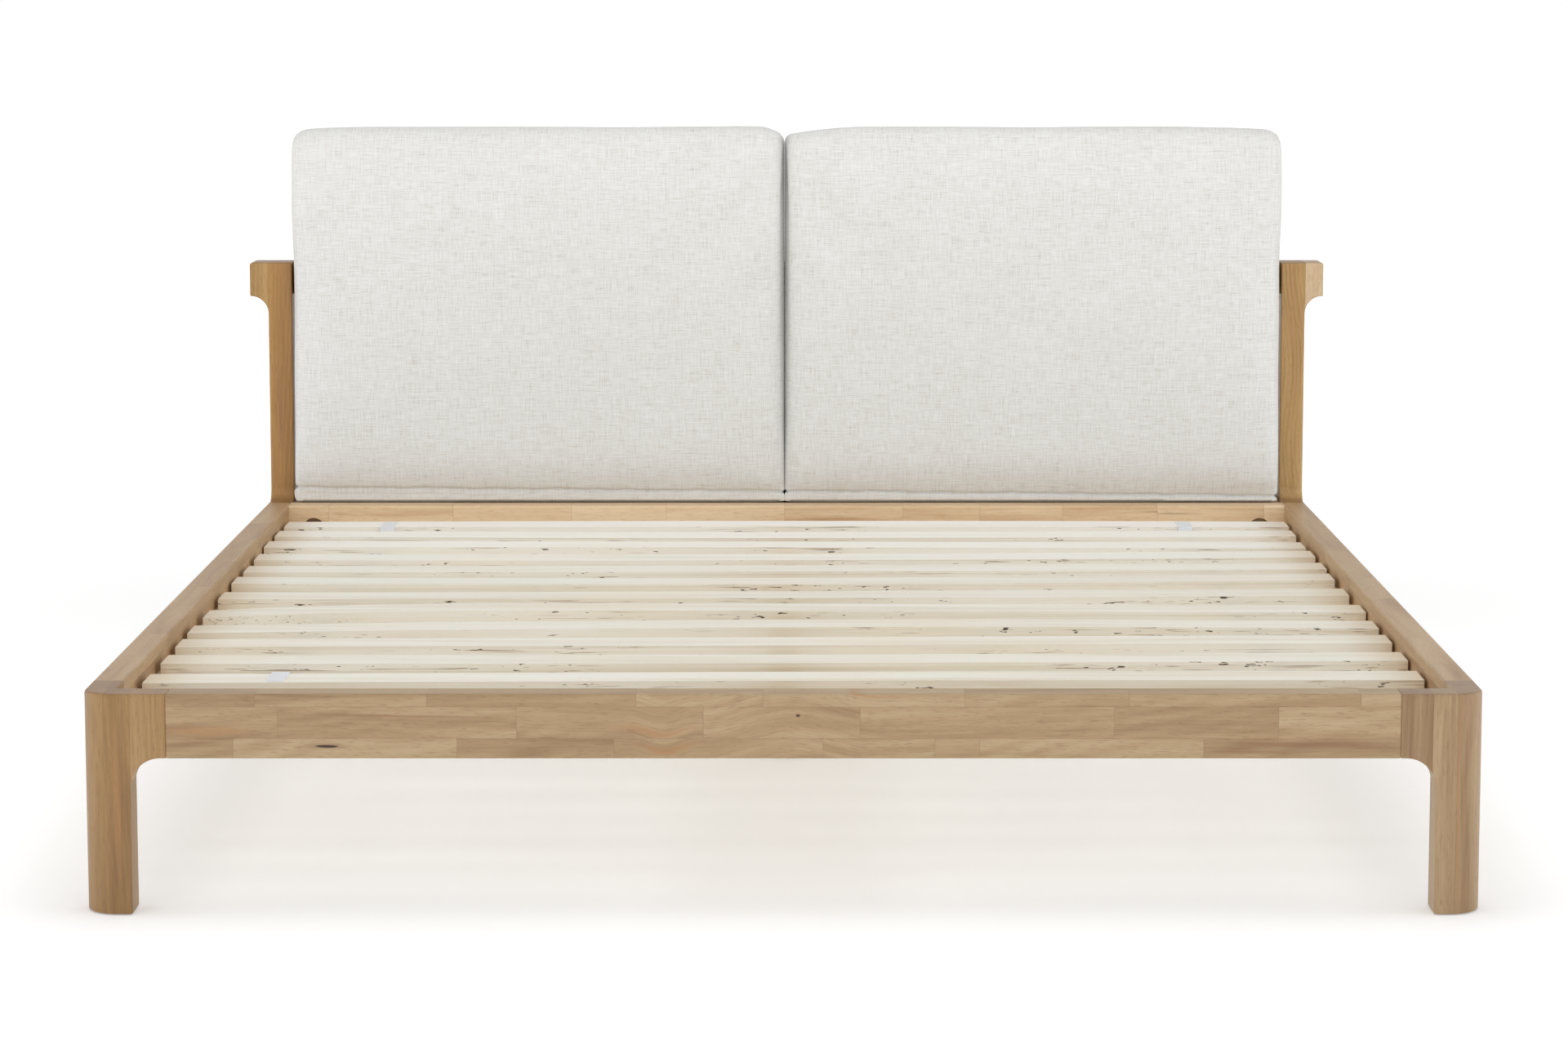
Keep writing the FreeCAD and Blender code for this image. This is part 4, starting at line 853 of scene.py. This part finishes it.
def cushion_blank(cushion):
    """A slightly small closed pad with rounded upright edges, ready to be blown up."""
    bm = bmesh.new()
    half = (cushion.high.x - cushion.low.x) / 2
    middle_x = (cushion.high.x + cushion.low.x) / 2
    middle_y = (cushion.low.y + cushion.high.y) / 2 + 0.03
    middle_z = (cushion.low.z + cushion.high.z) / 2
    offsets = []
    for step in range(BLANK_STEPS + 1):
        angle = math.pi / 2 * step / BLANK_STEPS
        offset = half - BLANK_INSET - BLANK_RADIUS * (1 - math.sin(angle))
        offsets.append((offset, BLANK_RADIUS * (1 - math.cos(angle))))
    stations = [(-x, draw) for x, draw in offsets[::-1]] + offsets
    rings = []
    for x, draw in stations:
        ring = []
        for y, z in cushion.profile():
            pull = draw if z > cushion.low.z + 0.03 else 0.0
            drawn_y = y + pull * (0.75 if y < middle_y else 0.0)
            drawn_z = z - pull * 0.8 if z > middle_z + 0.3 else z
            ring.append(bm.verts.new((middle_x + x, drawn_y, drawn_z)))
        rings.append(ring)
    skin(bm, rings)
    bmesh.ops.recalc_face_normals(bm, faces=bm.faces)
    return built(bm, f"headboard_cushion_{cushion.side}")


def points_of(mesh, kind="co"):
    values = np.zeros(len(mesh.vertices) * 3)
    mesh.vertices.foreach_get(kind, values)
    return values.reshape(-1, 3)


def set_points(mesh, co):
    mesh.vertices.foreach_set("co", co.reshape(-1).astype(np.float32))
    mesh.update()


def apply_modifiers(piece):
    evaluated = piece.evaluated_get(bpy.context.evaluated_depsgraph_get())
    mesh = bpy.data.meshes.new_from_object(evaluated)
    old = piece.data
    piece.modifiers.clear()
    piece.data = mesh
    bpy.data.meshes.remove(old)
    mesh.name = piece.name


def add_smoothing(piece, iterations):
    smooth = piece.modifiers.new("smooth", "SMOOTH")
    smooth.factor = 0.5
    smooth.iterations = iterations


def remeshed(piece):
    remesh = piece.modifiers.new("remesh", "REMESH")
    remesh.mode = "VOXEL"
    remesh.voxel_size = VOXEL
    add_smoothing(piece, 4)
    apply_modifiers(piece)


def blow_up(piece, cushion):
    """Swells the pad with cloth simulation. Its back, its foot and its bottom seam are held."""
    start = points_of(piece.data)
    held = np.ones(len(start))
    held[start[:, 1] < cushion.high.y - 0.014] = 0.0
    held[start[:, 2] < cushion.low.z + 0.008] = 1.0
    seam = cushion.seam_z(start[:, 0])
    on_seam = (np.abs(start[:, 2] - seam) < VOXEL) & (start[:, 1] < cushion.low.y + 0.06)
    held[on_seam] = 1.0
    group = piece.vertex_groups.new(name="held")
    for index in np.nonzero(held)[0]:
        group.add([int(index)], float(held[index]), "REPLACE")
    cloth = piece.modifiers.new("cloth", "CLOTH")
    settings = cloth.settings
    settings.quality = 6
    settings.mass = 0.3
    settings.tension_stiffness = 18.0
    settings.compression_stiffness = 18.0
    settings.shear_stiffness = 12.0
    settings.bending_stiffness = 8.0
    settings.use_pressure = True
    settings.uniform_pressure_force = PRESSURE
    settings.vertex_group_mass = "held"
    settings.effector_weights.gravity = 0.0
    cloth.collision_settings.use_collision = False
    cloth.point_cache.frame_start = 1
    cloth.point_cache.frame_end = SWELL_FRAMES
    scene = bpy.context.scene
    for number in range(1, SWELL_FRAMES + 1):
        scene.frame_set(number)
        bpy.context.view_layer.update()
    apply_modifiers(piece)
    scene.frame_set(1)
    end = points_of(piece.data)
    move = end - start
    length = np.linalg.norm(move, axis=1)
    scale = SWELL_CAP * np.tanh(length / SWELL_CAP) / np.maximum(length, 1e-9)
    set_points(piece.data, start + move * scale[:, None])
    piece.vertex_groups.clear()
    add_smoothing(piece, 10)
    apply_modifiers(piece)


def subdivided(piece):
    modifier = piece.modifiers.new("subdivision", "SUBSURF")
    modifier.levels = 1
    modifier.render_levels = 1
    apply_modifiers(piece)


def ripples(values, seed, waves):
    """A smooth uneven curve between about -1 and 1, made of a few waves."""
    rng = random.Random(seed)
    total = np.zeros_like(values)
    for wavelength in waves:
        phase = rng.uniform(0, 2 * math.pi)
        total += np.sin(values * 2 * math.pi / wavelength + phase)
    return total / len(waves)


def tailor(piece, cushion):
    """Draws the seam in, gathers the cloth above it, evens the band below and frees the neighbours."""
    mesh = piece.data
    co = points_of(mesh)
    normals = points_of(mesh, "normal")
    x, y, z = co[:, 0], co[:, 1], co[:, 2]
    seam = cushion.seam_z(x) + 0.0015 * ripples(x, 5, (0.31, 0.13, 0.07))
    in_front = y < cushion.low.y + 0.075
    distance = np.abs(z - seam)
    crease = SEAM_DEPTH * np.exp(-((distance / SEAM_WIDTH) ** 2)) * in_front
    above = z > seam
    gather = np.exp(-((z - seam) / 0.045) ** 2) * above * in_front
    puckers = gather * 0.0009 * ripples(x, 8 + cushion.sign, (0.037, 0.052, 0.021))
    softness = 0.0010 * ripples(x, 2, (0.46, 0.29)) * ripples(z, 4, (0.37, 0.23)) * in_front
    co += normals * (puckers + softness - crease)[:, None]
    band = in_front & (z < seam - 0.002) & (z > cushion.low.z + FOOT_HEIGHT)
    co[band, 1] = np.minimum(co[band, 1], cushion.low.y + BAND_SETBACK)
    set_points(mesh, co)
    keep_in_place(mesh, cushion)


def follow_outline(co, along, across, sign, target, reach, margin):
    """Moves the points near one edge, so that the outline seen from the front follows the target.

    The reach is how far in from the edge points move. Within the margin of the edge's two ends the
    pad keeps its own rounding.
    """
    place = co[:, along]
    out = sign * co[:, across]
    start, end = place.min(), place.max()
    count = int((end - start) / OUTLINE_STEP)
    index = np.clip(((place - start) / (end - start) * count).astype(int), 0, count - 1)
    extent = np.full(count, -np.inf)
    np.maximum.at(extent, index, out)
    extent = np.convolve(np.pad(extent, 1, mode="edge"), np.full(3, 1 / 3), mode="valid")
    middles = start + (np.arange(count) + 0.5) / count * (end - start)
    now = np.interp(np.clip(place, start + margin, end - margin), middles, extent)
    share = np.clip((out - now + reach) / reach, 0.0, 1.0)
    weight = share * share * (3 - 2 * share)
    co[:, across] += sign * (target(place) - now) * weight


def cut_to_outline(piece, cushion):
    """Draws the swollen pad to the outline that its cover is cut to."""
    co = points_of(piece.data)
    follow_outline(co, 2, 0, cushion.sign, cushion.outer_reach, reach=0.09, margin=0.05)
    follow_outline(co, 2, 0, -cushion.sign, cushion.inner_reach, reach=0.09, margin=0.05)
    follow_outline(co, 0, 2, 1, cushion.top_z, reach=0.16, margin=0.012)
    set_points(piece.data, co)


def refine_seam(piece, cushion):
    """Divides the faces along the bottom seam, so that its crease is sharp."""
    bm = bmesh.new()
    bm.from_mesh(piece.data)
    edges = []
    for edge in bm.edges:
        middle = (edge.verts[0].co + edge.verts[1].co) / 2
        if middle.y < cushion.low.y + 0.06 and abs(middle.z - cushion.seam_z(middle.x)) < 0.010:
            edges.append(edge)
    bmesh.ops.subdivide_edges(bm, edges=edges, cuts=1, use_grid_fill=True)
    bm.to_mesh(piece.data)
    bm.free()


def keep_in_place(mesh, cushion):
    """Trims the pad to its top line, and flattens it where it rests on something."""
    co = points_of(mesh)
    if cushion.sign < 0:
        co[:, 0] = np.minimum(co[:, 0], cushion.contact_x)
    else:
        co[:, 0] = np.maximum(co[:, 0], cushion.contact_x)
    co[:, 1] = np.minimum(co[:, 1], cushion.high.y - WALL_GAP)
    co[:, 2] = np.maximum(co[:, 2], cushion.low.z + WALL_GAP)
    co[:, 2] = np.minimum(co[:, 2], cushion.top_z(co[:, 0]))
    set_points(mesh, co)


def make_cushion(side, material):
    cushion = Cushion(side)
    piece = cushion_blank(cushion)
    remeshed(piece)
    blow_up(piece, cushion)
    subdivided(piece)
    cut_to_outline(piece, cushion)
    refine_seam(piece, cushion)
    tailor(piece, cushion)
    piece.data.materials.clear()
    piece.data.materials.append(material)
    piece.data.polygons.foreach_set("use_smooth", [True] * len(piece.data.polygons))
    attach(piece, BED)
    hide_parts(f"cushion_{side}")


# ---- linings behind the cushions

HEM = 0.015
SHEET_STEP = 0.012
LINING_SURFACE = 0.0008
PULL_DEPTH = 0.00008
PULL_REACH = 0.03
FOLD_STEP = 0.00022
CLOTH_THICKNESS = 0.00015
STAPLE_SPACING = 0.085
STAPLE_INSET = 0.008
STAPLE_CROWN = 0.0105
STAPLE_WIRE = 0.0005


def folded_stations(low, high):
    """The lines of a sheet with a hem turned under at both ends: each one's place and folds."""
    count = round((high - low) / SHEET_STEP)
    middle = [(low + (high - low) * step / count, 0) for step in range(count + 1)]
    near_hem = [(low + HEM, 1), (low + HEM / 2, 1), (low, 1)]
    far_hem = [(high, 1), (high - HEM / 2, 1), (high - HEM, 1)]
    return near_hem + middle + far_hem


def edge_distance(value, low, high):
    return min(value - low, high - value)


def make_lining(side, material):
    """The dust cloth, its four edges turned under and stretched over the plywood."""
    low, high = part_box(f"cushion_lining_{side}")
    bm = bmesh.new()
    columns = folded_stations(low.x, high.x)
    rows = folded_stations(low.z, high.z)
    grid = []
    for x, folds_x in columns:
        line = []
        for z, folds_z in rows:
            inwards = min(edge_distance(x, low.x, high.x), edge_distance(z, low.z, high.z))
            wave = math.cos(2 * math.pi * (x + z) / STAPLE_SPACING)
            pull = PULL_DEPTH * math.exp(-((inwards / PULL_REACH) ** 2)) * wave
            y = low.y + LINING_SURFACE + pull - FOLD_STEP * (folds_x + folds_z)
            line.append(bm.verts.new((x, y, z)))
        grid.append(line)
    for line, following in zip(grid, grid[1:]):
        for index in range(len(line) - 1):
            bm.faces.new((line[index], line[index + 1], following[index + 1], following[index]))
    piece = built(bm, f"lining_sheet_{side}")
    solid = piece.modifiers.new("thickness", "SOLIDIFY")
    solid.thickness = CLOTH_THICKNESS
    solid.offset = 0.0
    apply_modifiers(piece)
    piece.data.materials.clear()
    piece.data.materials.append(material)
    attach(piece, BED)
    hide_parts(f"cushion_lining_{side}")


def staple(bm, middle, along):
    """The crown of one wire staple, its two ends turned down into the plywood."""
    half = STAPLE_CROWN / 2
    path = [(-half, -0.0006), (-half * 0.96, 0.0001), (-half * 0.86, 0.0004),
            (half * 0.86, 0.0004), (half * 0.96, 0.0001), (half, -0.0006)]
    across = UP if along.x else RIGHT
    rings = []
    for step, height in path:
        centre = middle + along * step + BACK * height
        ring = []
        for corner in range(6):
            angle = math.pi / 3 * corner
            offset = across * math.cos(angle) * 1.2 + BACK * math.sin(angle) * 0.5
            ring.append(bm.verts.new(centre + offset * STAPLE_WIRE))
        rings.append(ring)
    skin(bm, rings)


def make_lining_staples(side, material):
    low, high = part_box(f"cushion_lining_{side}")
    bm = bmesh.new()
    y = low.y + LINING_SURFACE + CLOTH_THICKNESS
    inner_low = low + Vector((STAPLE_INSET, 0.0, STAPLE_INSET))
    inner_high = high - Vector((STAPLE_INSET, 0.0, STAPLE_INSET))
    count_x = round((inner_high.x - inner_low.x) / STAPLE_SPACING)
    count_z = round((inner_high.z - inner_low.z) / STAPLE_SPACING)
    for step in range(count_x):
        x = inner_low.x + (inner_high.x - inner_low.x) * (step + 0.5) / count_x
        for z in (inner_low.z, inner_high.z):
            staple(bm, Vector((x, y, z)), RIGHT)
    for step in range(count_z):
        z = inner_low.z + (inner_high.z - inner_low.z) * (step + 0.5) / count_z
        for x in (inner_low.x, inner_high.x):
            staple(bm, Vector((x, y, z)), UP)
    bmesh.ops.recalc_face_normals(bm, faces=bm.faces)
    piece = built(bm, f"lining_staples_{side}")
    piece.data.materials.append(material)
    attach(piece, BED)


# ---- studio

FOOTPRINT = (0.95, 1.0)
# The floor's glow under the bed, near it and far from it; the weaker glow under the bed is a painted shadow.
UNDER_GLOW = 0.20
NEAR_GLOW = 0.40
FAR_GLOW = 0.80
FLOOR_REACH = 40.0
# The sky is dimmed upwards, between two heights of the direction looked in.
SKY_FADE = {"From Min": 0.3, "From Max": 0.6, "To Min": 1.0, "To Max": 0.3}
CAMERA_PLACE = (0.019, -6.8515, 1.4123)
CAMERA_PITCH_DEGREES = 6.724
LENS = 89.706
SHIFT_X = -0.00765
SHIFT_Y = -0.06


# Each light's place, the point it is aimed at, its width and height, and its power in watts.
LIGHTS = {
    "overhead": ((0.0, 0.3, 4.0), (0.0, 0.3, 0.0), 5.0, 5.0, 36.0),
    "key": ((0.0, -1.6, 3.2), (0.0, 0.95, 0.7), 5.0, 3.2, 40.0),
    "front": ((0.6, -5.5, 2.6), (0.0, 0.0, 0.5), 4.0, 2.5, 16.0),
    "side_left": ((-4.5, -0.6, 2.2), (1.0, 0.0, 0.3), 3.0, 3.0, 22.0),
    "side_right": ((4.5, -0.6, 2.2), (-1.0, 0.0, 0.3), 3.0, 3.0, 22.0),
}


def area_light(name, place, target, width, height, power):
    light = bpy.data.lights.new(name, "AREA")
    light.shape = "RECTANGLE"
    light.size = width
    light.size_y = height
    light.energy = power
    lamp = bpy.data.objects.new(name, light)
    lamp.location = place
    aim = Vector(target) - Vector(place)
    lamp.rotation_euler = aim.to_track_quat("-Z", "Y").to_euler()
    bpy.context.scene.collection.objects.link(lamp)


def make_studio():
    world = bpy.data.worlds.new("studio")
    world.use_nodes = True
    background = world.node_tree.nodes["Background"]
    background.inputs["Color"].default_value = (1.0, 1.0, 1.0, 1.0)
    direction = world.node_tree.nodes.new("ShaderNodeTexCoord")
    split = world.node_tree.nodes.new("ShaderNodeSeparateXYZ")
    height = world.node_tree.nodes.new("ShaderNodeMapRange")
    height.interpolation_type = "SMOOTHSTEP"
    for name, value in SKY_FADE.items():
        height.inputs[name].default_value = value
    links = world.node_tree.links
    links.new(direction.outputs["Generated"], split.inputs[0])
    links.new(split.outputs["Z"], height.inputs["Value"])
    links.new(height.outputs["Result"], background.inputs["Strength"])
    bpy.context.scene.world = world
    bpy.context.scene.view_settings.view_transform = "Standard"
    for name, lamp in LIGHTS.items():
        area_light(name, *lamp)

    mesh = bpy.data.meshes.new("floor")
    signs = ((-1, -1), (1, -1), (1, 1), (-1, 1))
    corners = [(x * FLOOR_REACH, y * FLOOR_REACH, 0.0) for x, y in signs]
    mesh.from_pydata(corners, [], [(0, 1, 2, 3)])
    mesh.materials.append(studio_floor())
    new_piece(mesh)


def make_camera():
    camera = bpy.data.cameras.new("camera")
    camera.lens = LENS
    camera.shift_x = SHIFT_X
    camera.shift_y = SHIFT_Y
    camera.clip_end = 200.0
    holder = bpy.data.objects.new("camera", camera)
    holder.location = CAMERA_PLACE
    holder.rotation_euler = (math.radians(90 - CAMERA_PITCH_DEGREES), 0.0, 0.0)
    bpy.context.scene.collection.objects.link(holder)
    bpy.context.scene.camera = holder


make_camera()
make_studio()
MATERIALS = small_part_materials()
dress_wood()
dress_small_parts(MATERIALS)
for cushion_side in ("left", "right"):
    make_cushion(cushion_side, MATERIALS["linen"])
    make_lining(cushion_side, MATERIALS["lining_cloth"])
    make_lining_staples(cushion_side, MATERIALS["wire_steel"])
